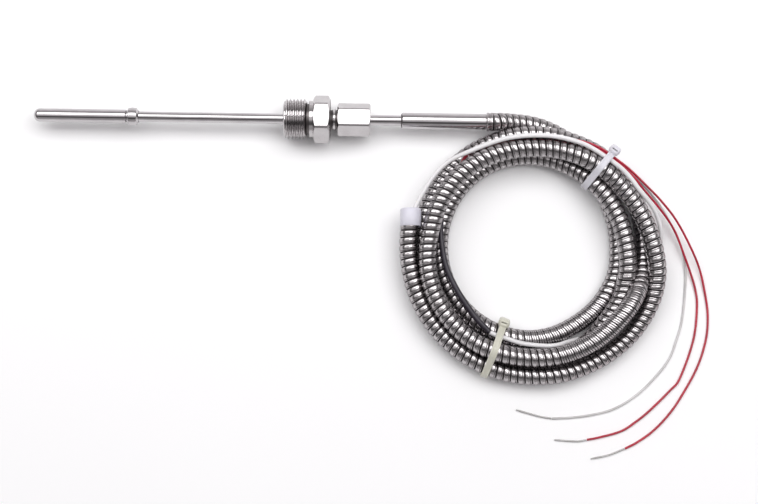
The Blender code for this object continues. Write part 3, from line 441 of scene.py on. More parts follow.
def lay_coil():
    """Angle, radius and height along the hose. Turns that would cut into each other are pushed
    apart, mostly upwards, until they lie on one another."""
    stations = np.array(COIL_STATIONS, float)
    angle = np.arange(stations[0, 0], stations[-1, 0] + TURN_STEP / 2, TURN_STEP)
    wanted_radius = hermite(stations[:, 0], stations[:, 1], angle)
    lowest = floor_height(angle)
    wanted_height = np.maximum(hermite(stations[:, 0], stations[:, 2], angle), lowest)
    radius, height = wanted_radius.copy(), wanted_height.copy()
    turn = int(round(360 / TURN_STEP))
    crossing, half_width, pressed = CROSSING
    spacing = STRAND_SPACING - pressed * bell(degrees_apart(angle, crossing), half_width)
    for _ in range(SETTLING_ROUNDS):
        out, up = np.zeros(len(angle)), np.zeros(len(angle))
        for turns in (1, 2, 3):
            i = np.arange(len(angle) - turns * turn)
            j = i + turns * turn
            across, rise = radius[j] - radius[i], height[j] - height[i]
            apart = np.maximum(np.hypot(across, rise), 1e-6)
            push = np.clip(spacing[i] - apart, 0, None) / apart / 2
            out[i] -= push * across
            out[j] += push * across
            up[i] -= push * rise
            up[j] += push * rise
        radius += OUTWARD_PUSH * out + RADIUS_PULL * (wanted_radius - radius)
        raised = height + UPWARD_PUSH * up + HEIGHT_PULL * (wanted_height - height)
        height = np.maximum(raised, lowest)
        for line in (radius, height):
            eased = 0.25 * line[:-2] + 0.5 * line[1:-1] + 0.25 * line[2:]
            line[3:-3] = (1 - SMOOTHING) * line[3:-3] + SMOOTHING * eased[2:-2]
    return angle, radius, height


COIL_ANGLE, COIL_RADIUS, COIL_HEIGHT = lay_coil()


def round_coil(angle, radius, height):
    """A point in metres, from its angle round the coil, its radius and its height."""
    turn = math.radians(angle)
    return (COIL_CENTRE[0] + radius * math.sin(turn), COIL_CENTRE[1] + radius * math.cos(turn),
            height)


def strands_at(angle):
    """Radius and height, in metres, of each turn of the hose at an angle round the coil."""
    found = []
    wanted = angle % 360 - 360
    while wanted <= COIL_ANGLE[-1]:
        if wanted >= COIL_ANGLE[0]:
            found.append((np.interp(wanted, COIL_ANGLE, COIL_RADIUS) * MM,
                          np.interp(wanted, COIL_ANGLE, COIL_HEIGHT) * MM))
        wanted += 360
    return found


HOSE_DIAMETER = 0.0094
HOSE_PITCH = 0.00363
HOSE_COLUMNS = 20
HOSE_START = (0.0880, 0.0, AXIS_HEIGHT)
HOSE_TAIL = [(0.0461, -0.0526, 0.0135), (0.0463, -0.0500, 0.0135)]
PATH_SPACING = 0.0012
# Share of the pitch and radius as a share of the hose's: groove, lip, fine notch, crown
HOSE_PROFILE = [
    (0.00, 0.865), (0.11, 0.865), (0.14, 0.925), (0.18, 0.950), (0.27, 0.957), (0.30, 0.925),
    (0.34, 0.925), (0.38, 0.972), (0.45, 0.992), (0.58, 1.000), (0.82, 0.996), (0.91, 0.975),
    (0.965, 0.935),
]
# Where the hose is stretched its lip stands out as far as its crown, and shows as fine lines
STRETCHED_PROFILE = [
    (0.00, 0.885), (0.07, 0.885), (0.11, 0.955), (0.20, 0.972), (0.30, 0.965), (0.34, 0.915),
    (0.40, 0.915), (0.44, 0.965), (0.55, 0.985), (0.64, 0.975), (0.68, 0.930), (0.73, 0.930),
    (0.77, 0.985), (0.88, 1.000), (0.965, 0.975),
]
STRETCHED = [(118, 180), (829, 884)]
# Shares of the hose's radius: above the first a point keeps the strip's colour, and the dirt and
# painted shade deepen over the second
GROOVE_EDGE = 0.955
GROOVE_DEPTH = 0.05
# How many points and steps of the path are measured at a time, to save memory
POINT_BLOCK = 4000
PATH_BLOCK = 400


def make_hose():
    coil = [round_coil(a, r * MM, z * MM) for a, r, z in zip(COIL_ANGLE, COIL_RADIUS, COIL_HEIGHT)]
    line = np.vstack([[HOSE_START], coil, HOSE_TAIL])
    reached = travelled_along(line)[1:len(coil) + 1]
    path = even_points(line, PATH_SPACING)
    length = route_length(path)
    twist = np.arange(HOSE_COLUMNS) / HOSE_COLUMNS
    rings = []
    for number in range(-1, int(length / HOSE_PITCH) + 1):
        angle = np.interp((number + 0.5) * HOSE_PITCH, reached, COIL_ANGLE)
        stretched = any(first < angle < last for first, last in STRETCHED)
        for share, size in STRETCHED_PROFILE if stretched else HOSE_PROFILE:
            place = (number + share + twist) * HOSE_PITCH
            if place.max() > 0 and place.min() < length:
                rings.append((place, size * HOSE_DIAMETER / 2))
    hose = sweep("armoured_hose", path, rings, ARMOUR, HOSE_COLUMNS)
    colour_grooves(hose, path)
    return hose, path


def colour_grooves(hose, path):
    """Store how deep each point lies in the groove, for the material."""
    flat = np.empty(len(hose.data.vertices) * 3)
    hose.data.vertices.foreach_get("co", flat)
    points = flat.reshape(-1, 3)
    depth = np.zeros(len(points))
    for start in range(0, len(points), POINT_BLOCK):
        block = points[start:start + POINT_BLOCK]
        near = np.full(len(block), 1.0)
        for first in range(0, len(path) - 1, PATH_BLOCK):
            stretch = path[first:first + PATH_BLOCK + 1]
            line = np.diff(stretch, axis=0)
            offset = block[:, None] - stretch[None, :-1]
            t = np.clip((offset * line).sum(2) / (line ** 2).sum(1), 0, 1)
            away = np.linalg.norm(offset - t[:, :, None] * line, axis=2).min(1)
            near = np.minimum(near, away)
        radius = near / (HOSE_DIAMETER / 2)
        depth[start:start + POINT_BLOCK] = np.clip((GROOVE_EDGE - radius) / GROOVE_DEPTH, 0, 1)
    attribute = hose.data.attributes.new("groove", "FLOAT", "POINT")
    attribute.data.foreach_set("value", depth.astype(np.float32))


hose, hose_path = make_hose()
dress(hose, "armour_steel", "armour_lead", "armour_coil", "armour_tail")

# The end bushing
BUSHING_PLACE = (0.0464, -0.0552, 0.0135)


def make_bushing():
    outer, length, bore, socket, floor = 0.0054, 0.0092, 0.0032, 0.0050, 0.0058
    rows = [(0.0, outer - 0.0003), (0.0003, outer),
            (length - 0.0008, outer), (length - 0.0002, outer - 0.0005),
            (length, outer - 0.0010), (length, bore + 0.0003), (length - 0.0003, bore),
            (floor, bore), (floor, socket), (0.0, socket)]
    obj = lathe("bushing", rows, WHITE_PLASTIC, 64, sharp=50.0)
    place = Matrix.Translation(BUSHING_PLACE) @ Matrix.Rotation(math.pi / 2, 4, "Z")
    obj.data.transform(place @ Matrix.Translation((0.0, 0.0, -AXIS_HEIGHT)))
    return obj


bushing = make_bushing()
dress(bushing, "white_plastic", "end_bushing")

# Lead cable, boot, cores and their bare ends
CABLE_DIAMETER = 0.0023
CABLE_SPACING = 0.0015
BOOT_DIAMETER = 0.0034
BOOT_SPACING = 0.001
CORE_DIAMETER = 0.00115
CORE_COLUMNS = 14
STRANDS_DIAMETER = 0.0008
STRANDS_SPACING = 0.0004
STRANDS_PITCH = 0.009
STRANDS_TAPER = 0.002
BUNDLE_RADIUS = 0.00067
# Degrees that the bundle turns, and the angle round the coil where it begins and how far on
BUNDLE_TWIST = (60.0, 374.0, 26.0)
# How far a cord may be let down on its support, its clearance there, and how far above the
# cord a support still counts
MOST_DROP = 0.0020
CORD_CLEARANCE = 0.00005
LOOK_ABOVE = 0.001
LEAD_CABLE_ROUTE = [
    (0.0470, -0.0493, 0.0135), (0.0480, -0.0468, 0.0136), (0.0492, -0.0440, 0.0138),
    (0.0507, -0.0410, 0.0139), (0.0529, -0.0370, 0.0142), (0.0564, -0.0313, 0.0147),
    (0.0608, -0.0258, 0.0154), (0.0655, -0.0217, 0.0163), (0.0706, -0.0190, 0.0171),
    (0.0761, -0.0167, 0.0178), (0.0841, -0.0136, 0.0191), (0.0923, -0.0109, 0.0207),
    (0.1006, -0.0092, 0.0220), (0.1087, -0.0087, 0.0228), (0.1167, -0.0090, 0.0230),
    (0.1252, -0.0105, 0.0229), (0.1329, -0.0128, 0.0224), (0.1391, -0.0158, 0.0213),
    (0.1453, -0.0196, 0.0203), (0.1480, -0.0213, 0.0201), (0.1537, -0.0256, 0.0196),
    (0.1584, -0.0303, 0.0187), (0.1622, -0.0350, 0.0174), (0.1671, -0.0402, 0.0152),
    (0.1718, -0.0466, 0.0120), (0.1749, -0.0555, 0.0078), (0.1745, -0.0660, 0.0042),
    (0.1706, -0.0781, 0.0024), (0.1637, -0.0900, 0.0015), (0.1560, -0.1005, 0.0014),
    (0.1470, -0.1087, 0.0014), (0.1380, -0.1100, 0.0014), (0.1314, -0.1109, 0.0036),
    (0.1266, -0.1125, 0.0062), (0.1221, -0.1141, 0.0082), (0.1156, -0.1147, 0.0092),
    (0.1040, -0.1138, 0.0108), (0.0951, -0.1113, 0.0120), (0.0905, -0.1100, 0.0125),
    (0.0872, -0.1085, 0.0130),
]
BOOT_ROUTE = [
    (0.0869, -0.1083, 0.0130), (0.0805, -0.1018, 0.0130), (0.0743, -0.0935, 0.0130),
    (0.0690, -0.0848, 0.0130), (0.0648, -0.0755, 0.0130), (0.0626, -0.0650, 0.0130),
    (0.0618, -0.0571, 0.0126), (0.0621, -0.0510, 0.0116),
]
# Angle round the coil in degrees, radius and height
CORE_BUNDLE = [
    (281.6, 0.0475, 0.0126), (288.0, 0.0488, 0.0116), (296.0, 0.0511, 0.0104),
    (304.0, 0.0532, 0.0104), (311.0, 0.0550, 0.0114), (318.0, 0.0562, 0.0128),
    (325.0, 0.0591, 0.0140), (332.0, 0.0589, 0.0154), (339.0, 0.0585, 0.0168),
    (346.0, 0.0582, 0.0180), (353.0, 0.0580, 0.0191), (360.0, 0.0580, 0.0198),
    (367.0, 0.0581, 0.0200), (374.0, 0.0584, 0.0200), (381.0, 0.0591, 0.0198),
    (388.0, 0.0604, 0.0194), (394.0, 0.0613, 0.0188), (400.0, 0.0617, 0.0182),
]
RED_CORE_A_ROUTE = [
    (0.1557, -0.0234, 0.0179), (0.1612, -0.0280, 0.0166), (0.1671, -0.0333, 0.0149),
    (0.1739, -0.0395, 0.0124), (0.1816, -0.0481, 0.0094), (0.1886, -0.0590, 0.0060),
    (0.1952, -0.0725, 0.0027), (0.1986, -0.0861, 0.0010), (0.2000, -0.0976, 0.0006),
    (0.1989, -0.1099, 0.0006), (0.1942, -0.1243, 0.0006), (0.1854, -0.1401, 0.0006),
    (0.1787, -0.1494, 0.0006), (0.1709, -0.1573, 0.0006), (0.1631, -0.1628, 0.0006),
    (0.1572, -0.1659, 0.0006),
]
RED_END_A_ROUTE = [(0.1569, -0.1660, 0.0006), (0.1491, -0.1692, 0.0006), (0.1397, -0.1713, 0.0006)]
RED_CORE_B_ROUTE = [
    (0.1542, -0.0237, 0.0180), (0.1599, -0.0290, 0.0176), (0.1638, -0.0336, 0.0163),
    (0.1711, -0.0412, 0.0132), (0.1781, -0.0491, 0.0097), (0.1828, -0.0560, 0.0068),
    (0.1867, -0.0649, 0.0044), (0.1907, -0.0748, 0.0022), (0.1936, -0.0839, 0.0009),
    (0.1945, -0.0930, 0.0006), (0.1925, -0.1100, 0.0006), (0.1855, -0.1296, 0.0006),
    (0.1803, -0.1361, 0.0006), (0.1698, -0.1465, 0.0006), (0.1631, -0.1520, 0.0006),
    (0.1553, -0.1571, 0.0006), (0.1437, -0.1605, 0.0006), (0.1378, -0.1617, 0.0006),
]
RED_END_B_ROUTE = [(0.1375, -0.1618, 0.0006), (0.1320, -0.1626, 0.0006), (0.1213, -0.1620, 0.0006)]
WHITE_CORE_ROUTE = [
    (0.1545, -0.0231, 0.0163), (0.1581, -0.0256, 0.0151), (0.1660, -0.0329, 0.0125),
    (0.1732, -0.0406, 0.0094), (0.1798, -0.0499, 0.0061), (0.1842, -0.0579, 0.0037),
    (0.1870, -0.0649, 0.0025), (0.1886, -0.0747, 0.0011), (0.1884, -0.0839, 0.0006),
    (0.1876, -0.0931, 0.0006), (0.1862, -0.1024, 0.0006), (0.1838, -0.1101, 0.0006),
    (0.1804, -0.1191, 0.0006), (0.1745, -0.1274, 0.0006), (0.1639, -0.1381, 0.0006),
    (0.1521, -0.1456, 0.0006), (0.1404, -0.1490, 0.0006), (0.1303, -0.1505, 0.0006),
    (0.1200, -0.1512, 0.0006),
]
WHITE_END_ROUTE = [(0.1197, -0.1512, 0.0006), (0.1131, -0.1501, 0.0006), (0.1017, -0.1471, 0.0006)]


def declare_cord(obj, node, slot, with_pieces):
    dress(obj, slot, node)


def bare_end(name, route):
    """Twisted strands: a lobed section that turns along its length and thins at the tip."""
    path = smooth_points(route, STRANDS_SPACING)
    length = route_length(path)
    columns = 28
    turns = 2 * math.pi * np.arange(columns) / columns
    rings = []
    for s in np.linspace(0, length, 90):
        lobes = 1.0 + 0.13 * np.cos(7 * (turns + 2 * math.pi * s / STRANDS_PITCH))
        taper = 1.0 - 0.35 * max(0.0, (s - length + STRANDS_TAPER) / STRANDS_TAPER)
        rings.append((s, STRANDS_DIAMETER / 2 * lobes * taper))
    return sweep(name, path, rings, TINNED, columns, 60.0)


def rest_on(path, size, supports, first, last):
    """The path with the stretch between two shares of its length raised or let down until it
    lies on what is under it, eased along it. Each support is a line and its radius."""
    rise = np.zeros(len(path))
    for i in range(int(first * len(path)), int(last * len(path))):
        tops = []
        for line, radius in supports:
            reach = size + radius + CORD_CLEARANCE
            flat = np.hypot(line[:, 0] - path[i, 0], line[:, 1] - path[i, 1])
            near = (flat < reach) & (line[:, 2] < path[i, 2] + LOOK_ABOVE)
            if near.any():
                tops.append((line[near, 2] + np.sqrt(reach ** 2 - flat[near] ** 2)).max())
        if tops:
            rise[i] = max(max(tops) - path[i, 2], -MOST_DROP)
    wide = np.array([rise[max(0, i - 4):i + 5].max() for i in range(len(rise))])
    window = np.hanning(11)
    path = path.copy()
    path[:, 2] += np.convolve(np.pad(wide, 5, mode="edge"), window / window.sum(), mode="valid")
    return path


def around_coil(path):
    """Angle round the coil of each point, in degrees, unwrapped along the path."""
    angle = np.arctan2(path[:, 0] - COIL_CENTRE[0], path[:, 1] - COIL_CENTRE[1])
    return np.degrees(np.unwrap(angle))


def place_at(path, angle, first, last):
    """Radius and height where a stretch of the path passes an angle round the coil."""
    stretch = path[int(first * len(path)):int(last * len(path))]
    point = stretch[degrees_apart(around_coil(stretch), angle).argmin()]
    return math.hypot(point[0] - COIL_CENTRE[0], point[1] - COIL_CENTRE[1]), point[2]


def lay_bundle():
    """The bundle's stations, its upper ones at the height where they lie on the hose."""
    line = smooth_points([round_coil(*station) for station in CORE_BUNDLE], PATH_SPACING)
    size = BUNDLE_RADIUS + CORE_DIAMETER / 2
    raised = rest_on(line, size, [(hose_path, HOSE_DIAMETER / 2)], 0.42, 0.9)
    angle = around_coil(line) % 360
    angle = np.where(angle < 180, angle + 360, angle)
    rise = raised[:, 2] - line[:, 2]
    return [(a, r, z + float(np.interp(a, angle, rise))) for a, r, z in CORE_BUNDLE], raised


def make_boot():
    """Shrunk sleeve, thinner towards the cores and drawn in where it grips the cable."""
    path = smooth_points(BOOT_ROUTE, BOOT_SPACING)
    length = route_length(path)
    rings = []
    for s in np.linspace(0, length, 120):
        wave = 0.012 * math.sin(s * 900) + 0.008 * math.sin(s * 2300 + 1.0)
        grip = 0.93 - 0.16 * s / length - 0.12 * math.exp(-(s / 0.0035) ** 2)
        rings.append((s, BOOT_DIAMETER / 2 * (grip + wave)))
    boot = sweep("shrink_boot", path, rings, BLACK_SHRINK, 24)
    dress(boot, "black_shrink", "heat_shrink_boot")
    return boot


def make_core(node, place, route, end_node, end_route, material, slot, stations):
    """An insulated core from the boot on, at its place in the bundle, and its bare end."""
    twist, twist_from, twist_over = BUNDLE_TWIST
    bundle = []
    for angle, radius, height in stations:
        turned = min(max((angle - twist_from) / twist_over, 0.0), 1.0)
        turn = math.radians(place - twist * turned)
        bundle.append(round_coil(angle, radius + BUNDLE_RADIUS * math.cos(turn),
                                 height + BUNDLE_RADIUS * math.sin(turn)))
    path = smooth_points(bundle + route, PATH_SPACING)
    core = plain_tube(f"{node}_jacket", path, CORE_DIAMETER, material, CORE_COLUMNS)
    strands = bare_end(f"{end_node}_strands", end_route)
    dress(strands, "tinned_strands", end_node)
    declare_cord(core, node, slot, [strands])


def make_cords():
    stations, bundle_line = lay_bundle()
    supports = [(hose_path, HOSE_DIAMETER / 2), (bundle_line, BUNDLE_RADIUS + CORE_DIAMETER / 2)]
    cable_line = smooth_points(LEAD_CABLE_ROUTE, CABLE_SPACING)
    cable_line = rest_on(cable_line, CABLE_DIAMETER / 2, supports, 0.15, 0.47)
    cable = plain_tube("jacketed_cable", cable_line, CABLE_DIAMETER, WHITE_JACKET)
    declare_cord(cable, "lead_cable",
                 "white_jacket", [make_boot()])
    make_core("red_core_a", 90.0, RED_CORE_A_ROUTE, "red_end_a", RED_END_A_ROUTE,
              RED_JACKET, "red_jacket", stations)
    make_core("red_core_b", 210.0, RED_CORE_B_ROUTE, "red_end_b", RED_END_B_ROUTE,
              RED_JACKET, "red_jacket", stations)
    make_core("white_core", 330.0, WHITE_CORE_ROUTE, "white_end", WHITE_END_ROUTE,
              WHITE_CORE, "white_core_jacket", stations)
    return cable_line, bundle_line


cable_path, bundle_path = make_cords()

# Probe: tip, collar, stem, transition sleeve and crimp ring
GAP = 0.0003
STEM = 0.002625
STEM_BORE = STEM + GAP


def ends_of(node):
    """Where a node begins and ends along the probe."""
    low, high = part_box(node)
    return low[0], high[0]


def shade_faces(obj, stretches):
    """Paint shade on the faces whose middles lie in these stretches along the probe, with the dark
    steel.
    """
    obj.data.materials.append(SHADED)
    for face in obj.data.polygons:
        if any(start < face.center.x < stop for start, stop in stretches):
            face.material_index = 1


def make_tip():
    end, opening = ends_of("tip_sleeve")
    outer, nose, wall, drill_point = 0.003475, 0.0030, 0.0008, 0.0019
    rows = [(end, 0.0)] + arc(end + nose, outer - nose, nose, 180, 90, 12)
    rows += [(x, outer) for x in np.linspace(end + nose, opening - 0.0002, 12)[1:]]
    rows += [(opening, outer - 0.0002), (opening, STEM_BORE),
             (end + wall + drill_point, STEM_BORE), (end + wall, 0.0)]
    tip = lathe("tip_thimble", rows, POLISHED, 72, closed=False)
    dress(tip, "polished_steel", "tip_sleeve")


def make_collar():
    front, back = ends_of("retaining_collar")
    neck, outer, edge, shoulder = 0.0033, 0.0046, 0.0005, 0.0008
    start, stop = front + shoulder, back - shoulder
    rows = [(front, neck - 0.0002), (front + 0.0002, neck), (start, neck)]
    rows += arc(start + edge, outer - edge - 0.0002, edge, 180, 90)
    rows += [((start + stop) / 2, outer)]
    rows += arc(stop - edge, outer - edge - 0.0002, edge, 90, 0)
    rows += [(stop, neck + 0.0004), (back - 0.0001, neck - 0.0003),
             (back, STEM_BORE), (front, STEM_BORE)]
    dress(lathe("collar", rows, POLISHED, 72), "polished_steel", "retaining_collar")


def make_stem():
    front, back = ends_of("stem_tube")
    wall = 0.0005
    rows = [(x, STEM) for x in np.linspace(front, back, 30)]
    rows += [(back, STEM - wall), (front, STEM - wall)]
    dress(lathe("stem", rows, POLISHED, 64), "polished_steel", "stem_tube")


def make_sleeve():
    front, back = ends_of("transition_sleeve")
    outer, edge, wall, floor, painted_shade_rim = 0.00412, 0.0014, 0.0006, 0.004, 0.0006
    rows = [(front, STEM_BORE + 0.0001)] + arc(front + edge, outer - edge, edge, 180, 90, 9)
    rows += [(x, outer) for x in np.linspace(front + edge, back - 0.0002, 10)[1:]]
    rows += [(back, outer - 0.0002), (back, outer - wall), (front + floor, outer - wall),
             (front + floor, STEM_BORE), (front, STEM_BORE)]
    sleeve = lathe("sleeve", rows, POLISHED, 80)
    # Painted shade on the sleeve's front rim, where it meets the stem
    shade_faces(sleeve, [(-math.inf, front + painted_shade_rim)])
    dress(sleeve, "polished_steel", "transition_sleeve")


def make_crimp():
    start, back = ends_of("crimp_ring")
    ring, outer, spigot, edge, groove = 0.0033, 0.0048, 0.0032, 0.0006, 0.0004
    front = back - ring
    rows = [(start, 0.0), (start, spigot), (front, spigot)]
    rows += arc(front + edge, outer - edge, edge, 180, 90)
    rows += [(front + 0.0012, outer), (front + 0.0015, outer - groove),
             (front + 0.0019, outer - groove), (front + 0.0022, outer)]
    rows += arc(back - edge, outer - edge, edge, 90, 0)
    rows += [(back, 0.0)]
    dress(lathe("crimp", rows, ARMOUR, 72, closed=False), "armour_steel", "crimp_ring")


make_tip()
make_collar()
make_stem()
make_sleeve()
make_crimp()

# Threaded fitting body and compression nut
THREAD_PITCH = 0.001814
THREAD_CREST = 0.0104775
THREAD_ROOT = 0.0093155
HEX_FLATS = 0.0220
HEX_CORNER = 0.0018
NUT_FLATS = 0.0153
NUT_CORNER = 0.0014
EVEN_COLUMNS = 96
CORNER_STEPS = (-3.1, -2.0, -0.9, 0.9, 2.0, 3.1)


def column_turns():
    """Columns round the axis, closer together at the corners of a hexagon."""
    even = np.arange(EVEN_COLUMNS) * 360 / EVEN_COLUMNS
    close = [corner + step for corner in range(30, 360, 60) for step in CORNER_STEPS]
    return np.radians(np.sort(np.r_[even, close]))


TURNS = column_turns()


def hexagon_radius(flats, corner):
    """Radius, for each column, of a hexagon with a flat underneath and rounded corners."""
    half = flats / 2
    off_flat = np.abs((TURNS + math.pi / 6) % (math.pi / 3) - math.pi / 6)
    off_corner = math.pi / 6 - off_flat
    centre = (half - corner) / math.cos(math.pi / 6)
    bulge = np.sqrt(np.clip(corner ** 2 - (centre * np.sin(off_corner)) ** 2, 0, None))
    meets = math.atan((half - corner) * math.tan(math.pi / 6) / half)
    return np.where(off_flat > meets, centre * np.cos(off_corner) + bulge, half / np.cos(off_flat))


def hexagon_rows(flats, corner, front, back, front_share=0.95, back_share=0.95):
    """Rows of a hexagon whose ends are turned to a 30 degree cone, from a share of its flats."""
    radius = hexagon_radius(flats, corner)
    slope = math.tan(math.radians(30.0))
    first, last = flats / 2 * front_share, flats / 2 * back_share
    return [(front, first), (front + (radius - first) * slope, radius),
            (back - (radius - last) * slope, radius), (back, last)]


def thread_radius(place, turns):
    """Radius of a right-handed pipe thread at a place along it."""
    phase = (place / THREAD_PITCH + turns / (2 * math.pi)) % 1.0
    flank = np.abs(phase - 0.5) * 2
    height = np.clip((flank - 0.16) / 0.68, 0, 1)
    height = height * height * (3 - 2 * height) * 0.35 + height * 0.65
    return THREAD_ROOT + (THREAD_CREST - THREAD_ROOT) * height


def thread_rows(front, back):
    """Rows that follow the thread's helix, cut off by a chamfer in front and a run-out behind."""
    stations = (0.0, 0.08, 0.16, 0.25, 0.42, 0.5, 0.58, 0.75, 0.84, 0.92)
    rows = []
    for number in range(-1, int((back - front) / THREAD_PITCH) + 3):
        for share in stations:
            place = front + (number + share - TURNS / (2 * math.pi)) * THREAD_PITCH
            place = np.clip(place, front, back)
            radius = thread_radius(place - front, TURNS)
            chamfer = THREAD_ROOT - 0.0004 + (place - front) * 1.10
            run_out = THREAD_ROOT - 0.0006 + (back - place) * 1.4
            rows.append((place, np.minimum(radius, np.minimum(chamfer, run_out))))
    return rows


def make_body():
    front, back = ends_of("fitting_body")
    groove_front, groove_back, groove = -0.0076, -0.0064, 0.0078
    hex_front, hex_back, shoulder = -0.0043, 0.0043, 0.0094
    spigot, mouth, mouth_depth = 0.0052, 0.0041, 0.0055
    rows = [(front, STEM_BORE), (front, 0.0080), (front + 0.0002, 0.0086)]
    rows += thread_rows(front + 0.0002, groove_front)
    rows += [(groove_front, groove), (groove_back, groove), (groove_back, shoulder - 0.0002),
             (groove_back + 0.0002, shoulder), (hex_front, shoulder)]
    rows += hexagon_rows(HEX_FLATS, HEX_CORNER, hex_front, hex_back)
    rows += [(hex_back, spigot - 0.0004), (hex_back + 0.0009, spigot - 0.0004),
             (hex_back + 0.0010, spigot - 0.0001), (hex_back + 0.0012, spigot),
             (0.0070, spigot), (0.0072, spigot - 0.0003), (0.0081, spigot - 0.0003),
             (0.0083, spigot), (back - 0.0006, spigot), (back, spigot - 0.0006),
             (back, mouth), (back - mouth_depth, STEM_BORE)]
    body = lathe("threaded_body", rows, MACHINED, sharp=28.0, turns=TURNS)
    # Painted shade in the groove behind the thread, at the back of the hex and in the spigot's
    # groove
    shade_faces(body, [(groove_front - 0.0001, groove_back + 0.0001),
                       (hex_back, hex_back + 0.001), (0.0071, 0.0082)])
    dress(body, "machined_steel", "fitting_body")


def make_nut():
    front, back = ends_of("compression_nut")
    seat, cone_end, cone_start, ferrules, thread = 0.0196, 0.0180, 0.0166, 0.0043, 0.0055
    rows = hexagon_rows(NUT_FLATS, NUT_CORNER, front, back, 0.96, 0.985)
    rows += [(back, STEM_BORE + 0.0004), (back - 0.0004, STEM_BORE), (seat, STEM_BORE),
             (seat, ferrules), (cone_end, ferrules), (cone_start, thread), (front, thread)]
    nut = lathe("clamping_nut", rows, MACHINED, sharp=28.0, turns=TURNS)
    dress(nut, "machined_steel", "compression_nut")


make_body()
make_nut()

# Cable ties
TIE_WIDTH = 0.0036
TIE_THICKNESS = 0.0011
TIE_EDGE = 0.0003
TIE_CLEARANCE = 0.0002
TIE_RECESS = 0.0002
TIE_STEPS = 96
HEAD_SIZE = (0.0064, 0.0044, 0.0058)
HEAD_EDGE = 0.0016
SLOT_SIZE = (0.02, 0.0007, 0.0030)
SLOT_OFFSET = (0.0, 0.0006, 0.0)
UPPER_TIE_AT = 39.0
LOWER_TIE_AT = 200.3


def hull_outline(circles, offset):
    """Outline of a band drawn tight round circles, each a radius, a height and a size."""
    outline = []
    for step in range(TIE_STEPS):
        angle = 2 * math.pi * step / TIE_STEPS
        x, y = math.cos(angle), math.sin(angle)
        radius, height, size = max(circles, key=lambda c: c[0] * x + c[1] * y + c[2])
        outline.append((radius + (size + offset) * x, height + (size + offset) * y))
    return outline


def section_frame(angle):
    """Where a section across the coil lies: x outwards, y upwards, z round the coil."""
    turn = math.radians(angle)
    outward = Vector((math.sin(turn), math.cos(turn), 0.0))
    upward = Vector((0.0, 0.0, 1.0))
    matrix = Matrix.Identity(4)
    for column, axis in enumerate((outward, upward, outward.cross(upward))):
        for row in range(3):
            matrix[row][column] = axis[row]
    matrix.translation = (*COIL_CENTRE, 0.0)
    return matrix


def tie_section():
    """Section of the strap: height above the hose and place across, with a toothed recess."""
    half, edge, top = TIE_WIDTH / 2, TIE_EDGE, TIE_THICKNESS
    return [(0.0, -half + edge), (edge, -half), (top - edge, -half), (top, -half + edge),
            (top, -half * 0.55), (top - TIE_RECESS, -half * 0.45),
            (top - TIE_RECESS, half * 0.45), (top, half * 0.55),
            (top, half - edge), (top - edge, half), (edge, half), (0.0, half - edge)]


def box_piece(name, size, edge, place, material):
    mesh = bpy.data.meshes.new(name)
    work = bmesh.new()
    bmesh.ops.create_cube(work, size=1.0)
    bmesh.ops.scale(work, verts=work.verts, vec=size)
    if edge:
        bmesh.ops.bevel(work, geom=work.edges[:], offset=edge, segments=5, affect="EDGES",
                        profile=0.5)
    work.to_mesh(mesh)
    work.free()
    mesh.materials.append(material)
    mesh.shade_smooth()
    mesh.set_sharp_from_angle(angle=math.radians(40.0))
    obj = add_object(name, mesh)
    obj.matrix_world = place
    return obj


def make_tie_head(name, place, material):
    """A rounded block with the slot that the strap goes through cut out of it."""
    head = box_piece(f"{name}_head", HEAD_SIZE, HEAD_EDGE, place, material)
    cutter_place = place @ Matrix.Translation(SLOT_OFFSET)
    cutter = box_piece(f"{name}_slot", SLOT_SIZE, 0.0, cutter_place, material)
    cut = head.modifiers.new("slot", "BOOLEAN")
    cut.operation = "DIFFERENCE"
    cut.object = cutter
    bpy.context.view_layer.update()
    graph = bpy.context.evaluated_depsgraph_get()
    made = bpy.data.meshes.new_from_object(head.evaluated_get(graph))
    head.modifiers.clear()
    head.data = made
    bpy.data.objects.remove(cutter, do_unlink=True)
    head.data.transform(head.matrix_world)
    head.matrix_world = Matrix.Identity(4)
    return head


def make_tie(name, node, slot, angle, extra, head_place, material):
    """A strap drawn round the turns and the extra circles, and its head, which is placed by
    radius, height and direction in degrees."""
    circles = [(radius, height, HOSE_DIAMETER / 2) for radius, height in strands_at(angle)]
    circles += extra
    frame_at = section_frame(angle)
    section = tie_section()
    outlines = [hull_outline(circles, TIE_CLEARANCE + rise) for rise, _ in section]
    vertices = [frame_at @ Vector((*outline[step], across)) for step in range(TIE_STEPS)
                for (_, across), outline in zip(section, outlines)]
    faces = grid_faces(TIE_STEPS, len(section), closed=True)
    dress(mesh_object(f"{name}_strap", vertices, faces, material, 45.0), slot, node)
    radius, height, direction = head_place
    turn = Matrix.Rotation(math.radians(direction - 90.0), 4, "Z")
    place = frame_at @ Matrix.Translation((radius, height, 0.0)) @ turn
    dress(make_tie_head(name, place, material), slot, node)


cable_size = CABLE_DIAMETER / 2
bundle_size = BUNDLE_RADIUS + CORE_DIAMETER / 2
make_tie("upper_tie", "cable_tie_upper", "pale_nylon", UPPER_TIE_AT,
         [(*place_at(cable_path, UPPER_TIE_AT, 0.2, 0.5), cable_size),
          (*place_at(bundle_path, UPPER_TIE_AT, 0.5, 1.0), bundle_size)],
         (0.0656, 0.0186, 22.5), PALE_NYLON)
make_tie("lower_tie", "cable_tie_lower", "yellowed_nylon", LOWER_TIE_AT,
         [(*place_at(cable_path, LOWER_TIE_AT, 0.7, 1.0), cable_size)],
         (0.0397, 0.0087, 160.0), YELLOWED_NYLON)

# Hidden pieces keep their solids and get their finish
HIDDEN = {
    "rtd_element": PLATINUM, "element_cup": CERAMIC, "lead_insulator": CERAMIC,
    "conductor_1": COPPER, "conductor_2": COPPER, "conductor_3": COPPER,
    "front_ferrule": MACHINED, "back_ferrule": MACHINED, "potting": RESIN,
}
for node_name, finish in HIDDEN.items():
    data = bpy.data.objects[node_name].data
    data.materials.clear()
    data.materials.append(finish)

